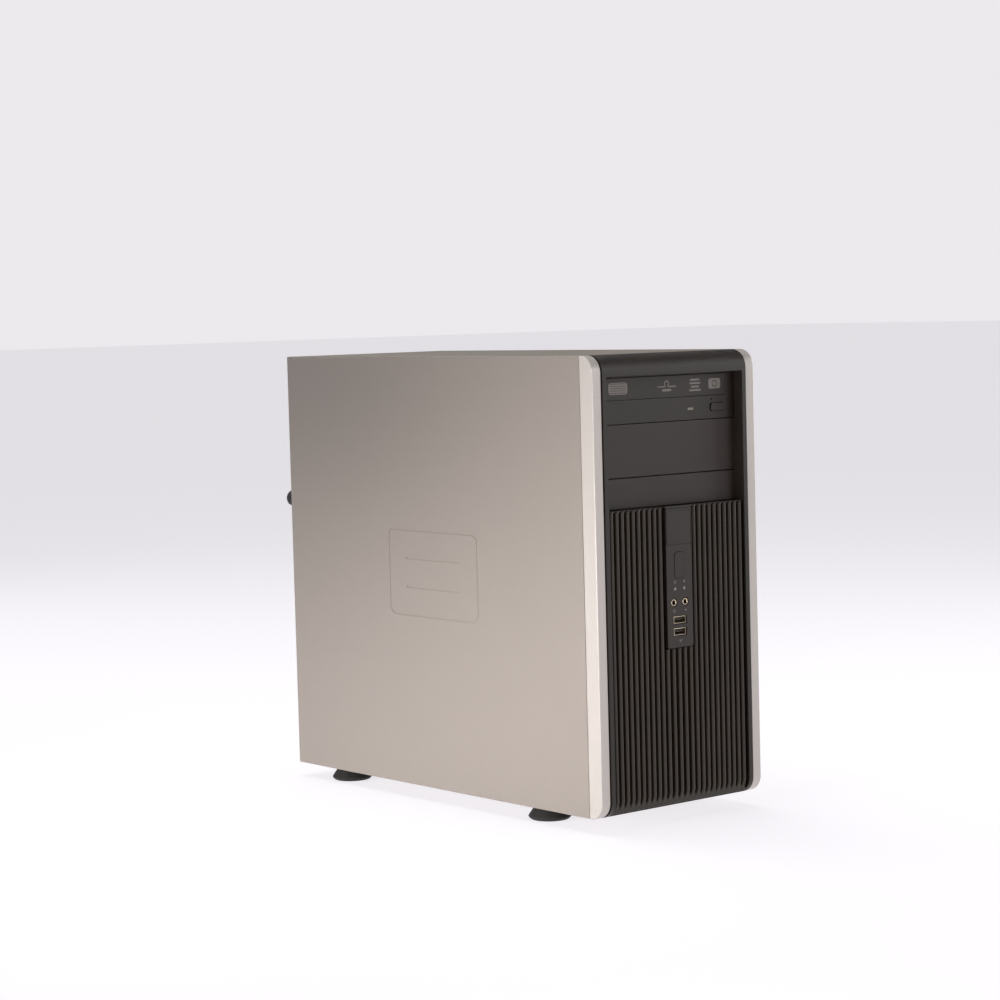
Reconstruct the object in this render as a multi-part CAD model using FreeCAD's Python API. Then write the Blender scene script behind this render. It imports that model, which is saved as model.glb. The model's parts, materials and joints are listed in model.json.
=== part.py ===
import FreeCAD, Part
import math
import os

# Desktop computer tower, millimetres. +Z up, the front faces -Y, +X to the right as seen from the front.
# The origin is on the surface that the tower stands on, under the middle of its box.

# ---- driving dimensions of the case ----
WIDTH = 175.8
BODY_HEIGHT = 365.0
FOOT_HEIGHT = 12.0
BODY_DEPTH = 410.0
REAR_REACH = 10.4            # how far the thumbscrew and the padlock tab stand out behind the body
SHEET = 1.0                  # steel sheet
GAP = 0.3                    # between pieces of different bodies

SIDE = WIDTH / 2
FRONT = -(BODY_DEPTH + REAR_REACH) / 2
REAR = FRONT + BODY_DEPTH
BOTTOM = FOOT_HEIGHT
TOP = BOTTOM + BODY_HEIGHT
REAR_PLATE = REAR - 1.3 - SHEET       # front face of the rear panel's sheet

# ---- front bezel ----
BEZEL_DEPTH = 16.0
BEZEL_BACK = FRONT + BEZEL_DEPTH
SEAM = 0.25                  # between the bezel and the steel behind it
STEEL_FRONT = BEZEL_BACK + SEAM
CORNER_R = 14.0              # nose radius at the top and bottom, seen from the side
WALL = 2.0                   # plastic wall
CHEEK_INNER = 79.0           # silver cheek, from here to the side
CHEEK_SET = 0.8              # how far the cheeks lie behind the black front
BLACK_HALF = 78.2
OPEN_HALF = 74.0             # bay and grille openings
BAY_BOTTOM = 254.4
BAY_TOP = 360.0
BAY_RECESS = 10.4
BLANK_FACE = FRONT + BAY_RECESS
BLANK_LINES = (254.4, 279.2, 321.8)    # edges of the blanks, from the bottom up
GRILLE_TOP = 252.9

RIB_WIDTH = 3.4
RIB_SET = 1.0
RIB_DEPTH = 8.0
CENTRE_RIBS = 5
CENTRE_PITCH = 6.3
SIDE_RIBS = 10
SIDE_RIB_START = 18.5
SIDE_PITCH = 5.74
TIE_BARS = (74.5, 137.5, 200.5)

STRIP_HALF = 13.9            # centre strip with the power button and the sockets
STRIP_BOTTOM = 140.9
STRIP_STEP = 223.5
BUTTON_HALF = 5.0
BUTTON_Z = (196.7, 217.6)
BUTTON_TRAVEL = 1.5
LIGHT_X = 5.0
LIGHT_Z = 188.2
JACK_X = 6.2
JACK_Z = 177.2
JACK_R = 1.8
USB_Z = (153.5, 163.0)
IO_BOARD_Y = (FRONT + 15.0, FRONT + 16.6)
SWITCH_Z = 207.1

# ---- drives ----
DRIVE_HALF = 73.0
OPTICAL_Z = (322.0, 363.4)
OPTICAL_DEPTH = 170.0
FASCIA_THICK = 5.6
DOOR_X = (-70.0, 64.7)
DOOR_Z = (340.8, 358.4)
EJECT_X = (47.6, 62.8)
EJECT_Z = (328.0, 334.4)
LENS_X = (22.4, 28.6)
LENS_Z = (329.8, 331.8)
RELEASE_HOLE = (49.2, 337.6)
DISC_R = 60.5
HARD_DRIVE = (101.6, 146.0, 25.4)
HARD_DRIVE_Z = 216.0
HARD_DRIVE_X = -15.0
DRIVE_SCREWS = ((-170.0, HARD_DRIVE_Z + 8), (-85.0, HARD_DRIVE_Z + 8))

# ---- rear and inside ----
SUPPLY = (150.0, 140.0, 86.0)
SUPPLY_Z = 287.5
BOARD = 244.0
BOARD_Z = 24.0
BOARD_X = (77.9, 79.5)
BOARD_REAR = REAR_PLATE - 1.5
TRAY_X = (85.4, 86.4)
SLOT_PITCH = 20.32
SLOT_FIRST = 37.5
SLOTS = 4
REAR_FAN = (-26.0, 232.0)    # x, z of its centre
CPU = (84.0, 202.0)          # y, z of its centre
FACE = BOARD_X[0]            # the board's component side; parts stand from here towards -X
SLOT_X = (-33.0, 76.0)
IO_X = (33.0, 78.3)          # window for the board's sockets
IO_Z = (110.2, 267.7)
NETWORK_Z = 183.0
SOUND_Z = 124.0
SOUND_PITCH = 12.5
INLET_X = 48.0
INLET_Z = SUPPLY_Z + 20.0
SUPPLY_FAN = (-20.0, SUPPLY_Z + 43.0)
SUPPLY_SCREWS = ((-68.0, SUPPLY_Z + 6), (-68.0, SUPPLY_Z + 80), (68.0, SUPPLY_Z + 80), (46.0, SUPPLY_Z + 6))
REAR_ZONES_Z = (108.0, 282.0)    # the rear sheet's fields meet at these heights
REAR_ZONE_X = 25.0
PADLOCK = (REAR + 4.2, 128.0)    # y, z of its hole
PADLOCK_X = -66.0
PADLOCK_R = 3.6
LATCH_X = -47.0
THUMBSCREW = (-79.5, 250.0)
MEMORY_Y = (10.0, 24.0)
SATA_Z = (56.0, 66.0, 76.0, 86.0)
POWER_PLUG = (-38.0, 210.0)
COIN_CELL = (20.0, 60.0)
CAPACITOR_PLACES = (
    [(150.0, 166 + i * 12.0) for i in range(7)]
    + [(26 + i * 13.0, 263.0) for i in range(6)]
    + [(i * 12.0, 100.0) for i in range(3)]
    + [(-30.0, 130 + i * 14.0) for i in range(3)]
)
SCREW_HEAD_R = 3.6
SCREW_HEAD = 2.2
SCREW_R = 1.5
SCREW_LENGTH = 5.0

# ---- sheet steel ----
LIP = 9.9                    # how far the panel's top and bottom lips reach in
LIP_X = -SIDE + LIP
STEP_DROP = 1.3              # the top and floor step down under the panel's lips
INSIDE_Z = (BOTTOM + STEP_DROP + SHEET, TOP - STEP_DROP - SHEET)
PLATE_Y = (BEZEL_BACK + 2.7, BEZEL_BACK + 2.7 + SHEET)    # the steel front behind the bezel
TAB_HEIGHTS = (70.0, 190.0, 320.0)
FOOT_X = 66.0
FOOT_Y = (-120.5, 150.0)
FOOT_PLACES = [(i * FOOT_X, y) for i in (-1, 1) for y in FOOT_Y]
FOOT_PLUG_R = 4.0
CAGE_X = (-74.5, 74.5)
CAGE_Y = (-190.0, -50.0)
LOCK_PIVOT = (-142.0, 348.0)

# ---- fans ----
FAN_SIZE = 92.0
FAN_DEPTH = 25.0
FAN_PITCH = 82.5
SMALL_FAN = 80.0
SMALL_PITCH = 71.5
BEARING_R = 1.55
SHAFT_R = 1.5
FAN_X = 2.0                  # the processor's fan starts here
COOLER_X = (FAN_X + FAN_DEPTH, 74.0)


# ---- small helpers ----
def span(x, y, z):
    """A box from three (low, high) pairs."""
    return Part.makeBox(x[1] - x[0], y[1] - y[0], z[1] - z[0], FreeCAD.Vector(x[0], y[0], z[0]))


def edges_along(shape, axis, test=lambda c: True):
    """The straight edges of a shape that run along an axis and pass a test of their centre."""
    found = []
    for edge in shape.Edges:
        a, b = edge.Vertexes[0].Point, edge.Vertexes[-1].Point
        d = b - a
        others = [abs(d[i]) for i in range(3) if i != axis]
        if abs(d[axis]) > 1e-6 and max(others) < 1e-6 and test(edge.CenterOfMass):
            found.append(edge)
    return found


def rounded(x, y, z, axis, radius, test=lambda c: True):
    """A box with its edges along an axis rounded."""
    block = span(x, y, z)
    return block.makeFillet(radius, edges_along(block, axis, test))


def rod(axis, at, radius, ends):
    """A cylinder along X, Y or Z; at is its place on the other two axes."""
    low, high = min(ends), max(ends)
    point = list(at)
    point.insert(axis, low)
    direction = [0, 0, 0]
    direction[axis] = 1
    return Part.makeCylinder(radius, high - low, FreeCAD.Vector(*point), FreeCAD.Vector(*direction))


def ring(axis, at, outer, inner, ends):
    """A tube along an axis."""
    return rod(axis, at, outer, ends).cut(rod(axis, at, inner, (min(ends) - 1, max(ends) + 1)))


def fuse(pieces):
    """Several touching solids made one."""
    return pieces[0].fuse(pieces[1:]).removeSplitter() if len(pieces) > 1 else pieces[0]


def group(pieces):
    """Separate solids in one node."""
    return Part.makeCompound(pieces)


def wider(pair, extra):
    """A (low, high) pair grown by extra at both ends."""
    return (pair[0] - extra, pair[1] + extra)


def turned(shape, axis, degrees, centre=(0, 0, 0)):
    """A copy turned about an axis through a point."""
    copy = shape.copy()
    copy.rotate(FreeCAD.Vector(*centre), FreeCAD.Vector(*axis), degrees)
    return copy


def moved(shape, x, y, z):
    """A copy moved by a distance."""
    copy = shape.copy()
    copy.translate(FreeCAD.Vector(x, y, z))
    return copy


def mirrored(shape):
    """A copy mirrored left to right."""
    return shape.mirror(FreeCAD.Vector(0, 0, 0), FreeCAD.Vector(1, 0, 0))


def nose(x, front, back, z, radius):
    """A block whose top and bottom front edges are rounded, as the case is seen from the side."""
    return rounded(x, (front, back), z, 0, radius, lambda c: abs(c.y - front) < 1e-6)


# ---- steel case ----
def stepped_plate(level, inward):
    """The top or the floor: a flat sheet whose left edge steps inward to lie under the panel's lip."""
    outer = sorted((level, level + inward * SHEET))
    step = level + inward * STEP_DROP
    inner = sorted((step, step + inward * SHEET))
    wall = sorted((level, step + inward * SHEET))
    length = (STEEL_FRONT, REAR_PLATE + SHEET)
    step_x = LIP_X + GAP
    return fuse([
        span((step_x, SIDE - SHEET), length, outer),
        span((-SIDE + SHEET + GAP, step_x + SHEET), length, inner),
        span((step_x, step_x + SHEET), length, wall),
    ])


def chassis_floor():
    """The floor, with a hole for each foot's plug."""
    holes = [rod(2, at, FOOT_PLUG_R + 0.2, (BOTTOM - 1, BOTTOM + 4)) for at in FOOT_PLACES]
    return stepped_plate(BOTTOM, 1).cut(holes)


def chassis_top():
    """The top sheet."""
    return stepped_plate(TOP, -1)


def slot_z(index):
    """The height of an expansion slot's middle."""
    return SLOT_FIRST + index * SLOT_PITCH


def rear_panel():
    """The rear sheet: its openings, a flange at the right, the latch's pin and the padlock tab, in four fields."""
    y = (REAR_PLATE, REAR_PLATE + SHEET)
    sheet = span((-SIDE + SHEET + GAP, SIDE - SHEET), y, INSIDE_Z)
    through = (REAR_PLATE - 1, REAR_PLATE + SHEET + 1)
    cuts = [
        span((-62.0, 64.0), through, (SUPPLY_Z + 9, SUPPLY_Z + SUPPLY[2] - 9)),
        span((-62.0, 22.0), through, (SUPPLY_Z + 2, SUPPLY_Z + SUPPLY[2] - 2)),
        span(IO_X, through, IO_Z),
        rod(1, THUMBSCREW, 2.3, through),
    ]
    cuts += [span(SLOT_X, through, (slot_z(i) - 7.5, slot_z(i) + 7.5)) for i in range(SLOTS)]
    for row in range(5):
        radius = 10.0 + row * 7.5
        count = 6 + row * 6
        for i in range(count):
            turn = 2 * math.pi * (i + 0.5 * (row % 2)) / count
            at = (REAR_FAN[0] + radius * math.cos(turn), REAR_FAN[1] + radius * math.sin(turn))
            cuts.append(rod(1, at, 2.6, through))
    cuts += [rod(1, at, SCREW_R, through) for at in fan_corners(REAR_FAN, FAN_PITCH) + list(SUPPLY_SCREWS)]
    edge = span((SIDE - 2 * SHEET, SIDE - SHEET), (REAR_PLATE - 8, REAR_PLATE), (30, 280))
    tab = rounded((PADLOCK_X - 1, PADLOCK_X + 1), (REAR_PLATE + SHEET, REAR + REAR_REACH),
                  (PADLOCK[1] - 8, PADLOCK[1] + 8), 0, 5.0, lambda c: c.y > REAR)
    hole = rod(0, PADLOCK, PADLOCK_R, (PADLOCK_X - 3, PADLOCK_X + 3))
    whole = fuse([sheet.cut(cuts), edge, tab, latch_pin()]).cut(hole)
    everywhere = (-300, 300)
    zones = [
        span(everywhere, everywhere, (0, REAR_ZONES_Z[0])),
        span((-300, REAR_ZONE_X), everywhere, REAR_ZONES_Z),
        span((REAR_ZONE_X, 300), everywhere, REAR_ZONES_Z),
        span(everywhere, everywhere, (REAR_ZONES_Z[1], 400)),
    ]
    return group([whole.common(zone).Solids[0] for zone in zones])


def fan_corners(centre, pitch):
    """The four screw places of a square fan."""
    half = pitch / 2
    return [(centre[0] + i * half, centre[1] + j * half) for i in (-1, 1) for j in (-1, 1)]


def front_plate():
    """The steel front behind the bezel: bay mouth, socket window, air slots and tab slots."""
    through = (PLATE_Y[0] - 1, PLATE_Y[1] + 1)
    sheet = span((-SIDE + SHEET + GAP, SIDE - SHEET), PLATE_Y, INSIDE_Z)
    cuts = [
        span((-74.5, 74.5), through, (BAY_BOTTOM - 1, OPTICAL_Z[1] + 1)),
        span((-16.5, 16.5), through, (143.0, 222.0)),
    ]
    for side in (-1, 1):
        for z in TAB_HEIGHTS:
            ends = sorted((side * 73.5, side * 80.0))
            cuts.append(span(ends, through, (z - 7, z + 7)))
        for i in range(7):
            middle = side * (24 + i * 7.0)
            for z in (30.0, 82.0, 150.0, 202.0):
                cuts.append(span((middle - 2, middle + 2), through, (z, z + 42)))
    return sheet.cut(cuts)


def rubber_feet():
    """Four dished rubber feet, each with a plug through the floor."""
    feet = []
    for x, y in FOOT_PLACES:
        profile = [(0, 0), (15.5, 0), (18.0, 2.5), (11.5, BOTTOM), (FOOT_PLUG_R, BOTTOM),
                   (FOOT_PLUG_R, BOTTOM + 3), (0, BOTTOM + 3)]
        points = [FreeCAD.Vector(r, 0, z) for r, z in profile]
        face = Part.Face(Part.makePolygon(points + [points[0]]))
        foot = face.revolve(FreeCAD.Vector(0, 0, 0), FreeCAD.Vector(0, 0, 1), 360)
        feet.append(moved(foot, x, y, 0))
    return group(feet)


def right_cover():
    """The fixed right side."""
    return span((SIDE - SHEET, SIDE), (STEEL_FRONT, REAR), (BOTTOM, TOP))


def board_tray():
    """The inner wall that holds the board, with a drawn boss under each board screw."""
    front = BOARD_REAR - BOARD
    wall = span(TRAY_X, (front - 8, REAR_PLATE - 10), (BOARD_Z - 6, BOARD_Z + BOARD + 10))
    bosses = [rod(0, at, 4.0, (BOARD_X[1], TRAY_X[0])) for at in board_holes()]
    rim = span((TRAY_X[1], SIDE - SHEET), (front - 8, front), (BOARD_Z, BOARD_Z + BOARD))
    holes = [rod(0, at, SCREW_R, (BOARD_X[1] - 1, BOARD_X[1] + 4)) for at in board_holes()]
    return fuse([wall, rim] + bosses).cut(holes)


def board_holes():
    """The (y, z) places of the board's eight screws."""
    rows = (BOARD_Z + 16, BOARD_Z + 120, BOARD_Z + BOARD - 10)
    back = [(BOARD_REAR - 10, BOARD_Z + up) for up in (16, 115, 239)]
    middle = [(BOARD_REAR - 150, z) for z in (rows[0], rows[2])]
    front = [(BOARD_REAR - BOARD + 10, z) for z in rows]
    return back + middle + front


def access_panel():
    """The removable left side: a flat sheet, top and bottom lips, a rear flange and a finger dimple."""
    length = (STEEL_FRONT, REAR)
    face = span((-SIDE, -SIDE + SHEET), length, (BOTTOM, TOP))
    lips = [span((-SIDE, LIP_X), length, z) for z in ((BOTTOM, BOTTOM + SHEET), (TOP - SHEET, TOP))]
    flange = span((-SIDE, -72.0), (REAR - SHEET, REAR), (BOTTOM + 4, TOP - 4))
    hole = rod(1, THUMBSCREW, 2.35, (REAR - 5, REAR + 5))
    return fuse([face, flange] + lips).cut(hole)


def thumbscrew():
    """The captive screw that holds the panel, with a grooved knob."""
    knob = rod(1, THUMBSCREW, 7.0, (REAR + GAP, REAR + 9.5))
    grooves = []
    for i in range(18):
        turn = 2 * math.pi * i / 18
        at = (THUMBSCREW[0] + 7.2 * math.cos(turn), THUMBSCREW[1] + 7.2 * math.sin(turn))
        grooves.append(rod(1, at, 0.55, (REAR, REAR + 10)))
    shank = rod(1, THUMBSCREW, 2.25, (REAR_PLATE - 4, REAR + GAP + 0.1))
    return fuse([knob.cut(grooves), shank])


# ---- drives ----
def drive_cage():
    """The riveted cage of the two wide bays and the narrow one, with the hard drive's frame below."""
    walls = [span((x, x + SHEET), CAGE_Y, (252.0, INSIDE_Z[1])) for x in (CAGE_X[0], CAGE_X[1] - SHEET)]
    shelf = span(CAGE_X, CAGE_Y, (252.0, 253.0))
    ledges = [span(x, CAGE_Y, (319.8, 320.8)) for x in ((-74.5, -60.0), (60.0, 74.5))]
    roof = span(CAGE_X, CAGE_Y, (INSIDE_Z[1] - SHEET, INSIDE_Z[1]))
    slots = [span((-76, -72), (y, y + 40), (z, z + 12)) for y in (-170, -110) for z in (290, 262)]
    x = CAGE_X[0]
    rivet = fuse([rod(0, LOCK_PIVOT, 2.0, (x - 4.0, x + 0.5)), rod(0, LOCK_PIVOT, 4.0, (x - 5.0, x - 3.9))])
    return fuse(walls + [shelf, roof, rivet, hard_drive_frame()] + ledges).cut(slots)


def hard_drive_frame():
    """The open frame that holds the hard drive under the drive cage."""
    half = HARD_DRIVE[0] / 2 + 1.6
    y = (-188, -60)
    walls = [span(sorted((i * half, i * (half + SHEET))), y, (HARD_DRIVE_Z - 4, 252.2)) for i in (-1, 1)]
    floor = span((-half - SHEET, half + SHEET), y, (HARD_DRIVE_Z - 5, HARD_DRIVE_Z - 4))
    holes = [rod(0, at, SCREW_R, (-60, 60)) for at in DRIVE_SCREWS]
    return moved(fuse(walls + [floor]).cut(holes), HARD_DRIVE_X, 0, 0)


def hard_drive_base():
    """The cast base of the hard drive with its screw holes and, below, its own board and sockets."""
    w, d, h = HARD_DRIVE
    y = (-185.0, -185.0 + d)
    z = HARD_DRIVE_Z
    body = rounded((-w / 2, w / 2), y, (z, z + h - 1.4), 2, 4.0)
    body = body.cut(span((-w / 2 + 4, w / 2 - 4), (y[1] - 100, y[1] - 4), (z - 1, z + 3)))
    board = span((-w / 2 + 4, w / 2 - 4), (y[1] - 98, y[1] - 4), (z + 1.4, z + 3))
    holes = [rod(0, at, SCREW_R, (-60, 60)) for at in DRIVE_SCREWS]
    return moved(fuse([body, board]).cut(holes), HARD_DRIVE_X, 0, 0)


def hard_drive_cover():
    """The pressed lid of the hard drive."""
    w, d, h = HARD_DRIVE
    z = (HARD_DRIVE_Z + h - 1.4, HARD_DRIVE_Z + h)
    lid = rounded((-w / 2 + 1, w / 2 - 1), (-184.0, -186.0 + d), z, 2, 4.0)
    return moved(lid.cut(ring(2, (0, -130), 44.0, 41.0, (z[1] - 0.5, z[1] + 1))), HARD_DRIVE_X, 0, 0)


def optical_case():
    """The optical drive's steel case, open at the front for the tray."""
    y = (BLANK_FACE + FASCIA_THICK, BLANK_FACE + FASCIA_THICK + OPTICAL_DEPTH)
    outside = span((-DRIVE_HALF, DRIVE_HALF), y, OPTICAL_Z)
    inside = span((-DRIVE_HALF + SHEET, DRIVE_HALF - SHEET), (y[0] - 1, y[1] - SHEET),
                  (OPTICAL_Z[0] + SHEET, OPTICAL_Z[1] - SHEET))
    return outside.cut(inside)


def optical_fascia():
    """The optical drive's plastic front, with the tray's mouth, the button's hole and the release hole."""
    y = (BLANK_FACE, BLANK_FACE + FASCIA_THICK)
    plate = span((-DRIVE_HALF - 0.6, DRIVE_HALF + 0.6), y, OPTICAL_Z)
    through = (y[0] - 1, y[1] + 1)
    mouth = rounded(wider(DOOR_X, GAP), through, wider(DOOR_Z, GAP), 1, 1.2)
    eject = rounded(wider(EJECT_X, GAP), through, wider(EJECT_Z, GAP), 1, 2.4)
    lens = rounded(LENS_X, through, LENS_Z, 1, 0.9)
    return plate.cut([mouth, eject, lens, rod(1, RELEASE_HOLE, 0.7, through)])


def activity_lens():
    """The clear lens over the optical drive's light."""
    return rounded(LENS_X, (BLANK_FACE - 0.1, BLANK_FACE + FASCIA_THICK), LENS_Z, 1, 0.9)


def optical_tray():
    """The sliding disc tray with its large and small disc recesses and the spindle's slot."""
    x = (DOOR_X[0] + 3.0, DOOR_X[1] - 3.0)
    middle = (x[0] + x[1]) / 2
    z = (345.0, 352.0)
    plate = rounded(x, (BLANK_FACE + 4.0, -54.0), z, 2, 5.0, lambda c: c.y > -100)
    disc_y = BLANK_FACE + 4.0 + 6.0 + DISC_R
    recess = rod(2, (middle, disc_y), DISC_R, (z[1] - 2.2, z[1] + 1))
    small = rod(2, (middle, disc_y), 40.5, (z[1] - 3.6, z[1] + 1))
    slot = rounded((middle - 16, middle + 16), (disc_y - 18, -60.0), (z[0] - 1, z[1] + 1), 2, 10.0)
    return plate.cut([recess, small, slot])


def tray_door():
    """The tray's front strip."""
    return rounded(DOOR_X, (BLANK_FACE - 0.3, BLANK_FACE + 4.0), DOOR_Z, 1, 1.0)


def eject_button():
    """The rounded eject button and its stem."""
    cap = rounded(EJECT_X, (BLANK_FACE - 1.0, BLANK_FACE + 3.0), EJECT_Z, 1, 2.2)
    stem = span((53, 57), (BLANK_FACE + 3.0, BLANK_FACE + 8.0), (330, 332.6))
    return fuse([cap, stem])


def drive_lock():
    """The lever on the drive cage that locks the drives, with its finger tab."""
    x = (CAGE_X[0] - 3.6, CAGE_X[0] - 1.2)
    arm = rounded(x, (-150.0, -92.0), (340.0, 356.0), 0, 6.0)
    tab = rounded((x[0] - 4.0, x[0]), (-106.0, -94.0), (343.0, 353.0), 0, 3.0)
    return fuse([arm, tab]).cut(rod(0, LOCK_PIVOT, 2.05, (x[0] - 1, x[1] + 1)))


# ---- fans ----
def fan_frame(size, depth, pitch):
    """A square fan frame about Y, centred, with its hub bearing and three struts at the back."""
    half = size / 2
    bore = half - 2.2
    through = (-1, depth + 1)
    frame = rounded((-half, half), (0, depth), (-half, half), 1, 4.0).cut(rod(1, (0, 0), bore, through))
    hub = rod(1, (0, 0), size * 0.19, (depth - 3, depth))
    struts = [turned(span((-1.5, 1.5), (depth - 3, depth), (size * 0.18, bore + 0.5)), (0, 1, 0), i * 120)
              for i in range(3)]
    body = fuse([frame, hub] + struts)
    holes = [rod(1, at, 1.9, through) for at in fan_corners((0, 0), pitch)]
    return body.cut(holes + [rod(1, (0, 0), BEARING_R, through)])


def fan_rotor(size, depth, blades=7):
    """A hub, its shaft and curved blades about Y, centred."""
    hub_r = size * 0.19
    tip = size / 2 - 3.4
    hub = rod(1, (0, 0), hub_r, (1.2, depth - 4.0))
    shaft = rod(1, (0, 0), SHAFT_R, (depth - 5.0, depth - 0.4))
    pieces = [hub, shaft]
    for i in range(blades):
        blade = span((0, tip - hub_r + 1.0), (-1.0, 1.0), (-size * 0.13, size * 0.13))
        blade = turned(blade, (1, 0, 0), 62)
        blade = moved(blade, hub_r - 1.0, (depth - 2.4) / 2, 0)
        pieces.append(turned(blade, (0, 1, 0), 360 * i / blades))
    keep = rod(1, (0, 0), tip, (1.4, depth - 3.8))
    return fuse(pieces).common(fuse([keep, shaft]))


def to_cooler(shape):
    """Place a fan on the cooler, blowing towards the board."""
    return moved(turned(shape, (0, 0, 1), -90), FAN_X, CPU[0], CPU[1])


# ---- power supply ----
def supply_case():
    """The power supply's case with its fan holes, inlet hole and vents."""
    w, d, h = SUPPLY
    y = (REAR_PLATE - d, REAR_PLATE)
    case = span((-w / 2, w / 2), y, (SUPPLY_Z, SUPPLY_Z + h)).cut(
        span((-w / 2 + SHEET, w / 2 - SHEET), (y[0] + SHEET, y[1] - SHEET),
             (SUPPLY_Z + SHEET, SUPPLY_Z + h - SHEET)))
    cuts = [rod(1, SUPPLY_FAN, 37.0, (y[1] - 3, y[1] + 1)),
            span((INLET_X - 13.7, INLET_X + 13.7), (y[1] - 3, y[1] + 1), (INLET_Z - 10.2, INLET_Z + 10.2))]
    vents = (SUPPLY_Z + 12, SUPPLY_Z + 72)
    cuts += [span((-60 + i * 9, -56 + i * 9), (y[0] - 1, y[0] + 3), vents) for i in range(8)]
    cuts += [rod(1, at, SCREW_R, (y[1] - 3, y[1] + 1)) for at in SUPPLY_SCREWS]
    return case.cut(cuts)


def fan_guard():
    """The wire finger guard on the power supply's fan: rings on four spokes that end in screw eyes."""
    x, z = SUPPLY_FAN
    wire = 0.8
    spoke_y = REAR_PLATE + wire
    ring_y = spoke_y + 1.3
    middle = FreeCAD.Vector(x, ring_y, z)
    rings = [Part.makeTorus(r, wire, middle, FreeCAD.Vector(0, 1, 0)) for r in (9, 17, 25, 33)]
    spokes, eyes = [], []
    reach = SMALL_PITCH / math.sqrt(2)
    for i in range(4):
        spoke = turned(rod(2, (0, 0), wire, (6, reach - 2.8)), (0, 1, 0), 45 + 90 * i)
        spokes.append(moved(spoke, x, spoke_y, z))
    for at in fan_corners(SUPPLY_FAN, SMALL_PITCH):
        eyes.append(ring(1, at, 3.6, 2.0, (spoke_y - wire, spoke_y + wire)))
    return fuse(rings + spokes + eyes)


def power_inlet():
    """The mains inlet: a shrouded three-pin socket."""
    y = (REAR_PLATE - 18, REAR_PLATE + 2.4)
    at_x, at_z = (INLET_X, INLET_X), (INLET_Z, INLET_Z)
    body = rounded(wider(at_x, 13.5), y, wider(at_z, 10.0), 1, 3.0)
    well = rounded(wider(at_x, 12.0), (y[1] - 15, y[1] + 1), wider(at_z, 8.2), 1, 3.0)
    pins = []
    for x, z in ((INLET_X - 7, INLET_Z - 2), (INLET_X, INLET_Z + 2), (INLET_X + 7, INLET_Z - 2)):
        pins.append(span((x - 1, x + 1), (y[1] - 15.5, y[1] - 2), (z - 2, z + 2)))
    return fuse([body.cut(well)] + pins)


# ---- motherboard ----
def motherboard():
    """The board with its eight screw holes."""
    y = (BOARD_REAR - BOARD, BOARD_REAR)
    board = span(BOARD_X, y, (BOARD_Z, BOARD_Z + BOARD))
    return board.cut([rod(0, at, 2.0, (BOARD_X[0] - 1, BOARD_X[1] + 1)) for at in board_holes()])


def on_board(height, y, z):
    """A block standing on the board."""
    return span((FACE - height, FACE), y, z)


def processor_socket():
    """The processor's socket and the processor in it."""
    y, z = CPU
    return fuse([on_board(2.6, (y - 24, y + 24), (z - 24, z + 24)),
                 span((74.0, 75.4), (y - 19, y + 19), (z - 19, z + 19))])


def heat_sink():
    """The processor's heat sink: a base and straight fins."""
    y, z = CPU
    base = span((COOLER_X[1] - 6, COOLER_X[1]), (y - 42, y + 42), (z - 42, z + 42))
    fins = [span((COOLER_X[0], COOLER_X[1] - 5), (y - 42 + i * 4.0, y - 41.0 + i * 4.0), (z - 42, z + 42))
            for i in range(1, 21)]
    return fuse([base] + fins)


def memory_sockets():
    """Two long memory sockets."""
    return group([on_board(8.0, (y - 3.2, y + 3.2), (118.0, 258.0)) for y in MEMORY_Y])


def memory_modules():
    """Two memory modules: boards with a row of chips fused on each face."""
    modules = []
    for y in MEMORY_Y:
        board = span((FACE - 38, FACE - 8.0), (y - 0.6, y + 0.6), (121.4, 254.8))
        chips = [span((FACE - 27, FACE - 15), (y - 1.7, y + 1.7), (128.0 + i * 15.6, 138.0 + i * 15.6))
                 for i in range(8)]
        modules.append(fuse([board] + chips))
    return group(modules)


def expansion_slots():
    """Four long card sockets, each with its key slot."""
    slots = []
    for i in range(SLOTS):
        z = slot_z(i)
        body = on_board(11.0, (60.0, 145.0), (z - 3.8, z + 3.8))
        slots.append(body.cut(span((FACE - 12, FACE - 3), (62, 143), (z - 0.9, z + 0.9))))
    return group(slots)


def chipset_sink():
    """A finned heat sink on the chipset."""
    base = on_board(5.0, (40, 76), (106, 142))
    fins = [on_board(24.0, (41 + i * 3.6, 42.2 + i * 3.6), (106, 142)) for i in range(10)]
    return fuse([base] + fins)


def capacitors():
    """Round board capacitors."""
    return group([rod(0, at, 4.0, (FACE - 12.5, FACE)) for at in CAPACITOR_PLACES])


def coin_cell():
    """The coin cell standing in its holder's ring."""
    cell = rod(0, COIN_CELL, 10.0, (FACE - 5.6, FACE - 2.0))
    return fuse([cell, rod(0, COIN_CELL, 11.6, (FACE - 2.5, FACE))])


def board_connectors():
    """The main power socket, the processor's power socket, the data sockets and the pin header."""
    y, z = POWER_PLUG
    main = on_board(13.0, (y - 4.5, y + 4.5), (z - 26, z + 26))
    corner = on_board(13.0, (165, 174.6), (255, 265))
    data = [on_board(8.5, (-34, -28), (z - 3.4, z + 3.4)) for z in SATA_Z]
    header = on_board(8.5, (-4, 22), (32, 37))
    return group([main, corner, header] + data)


def port(width, height, z, lift=0.0, depth=18.0):
    """A rear socket's shell: width runs along Z up the board, height away from it."""
    x = (FACE - lift - height, FACE - lift)
    y = (BOARD_REAR - depth + 6, REAR_PLATE + SHEET + 1.0)
    shell = span(x, y, (z, z + width))
    return shell.cut(span((x[0] + 0.8, x[1] - 0.8), (y[1] - 9, y[1] + 1), (z + 0.8, z + width - 0.8)))


def sound_places():
    """The (x, z) places of the three rear sound sockets."""
    return [(FACE - 6.5 - i * SOUND_PITCH, SOUND_Z) for i in range(3)]


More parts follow.
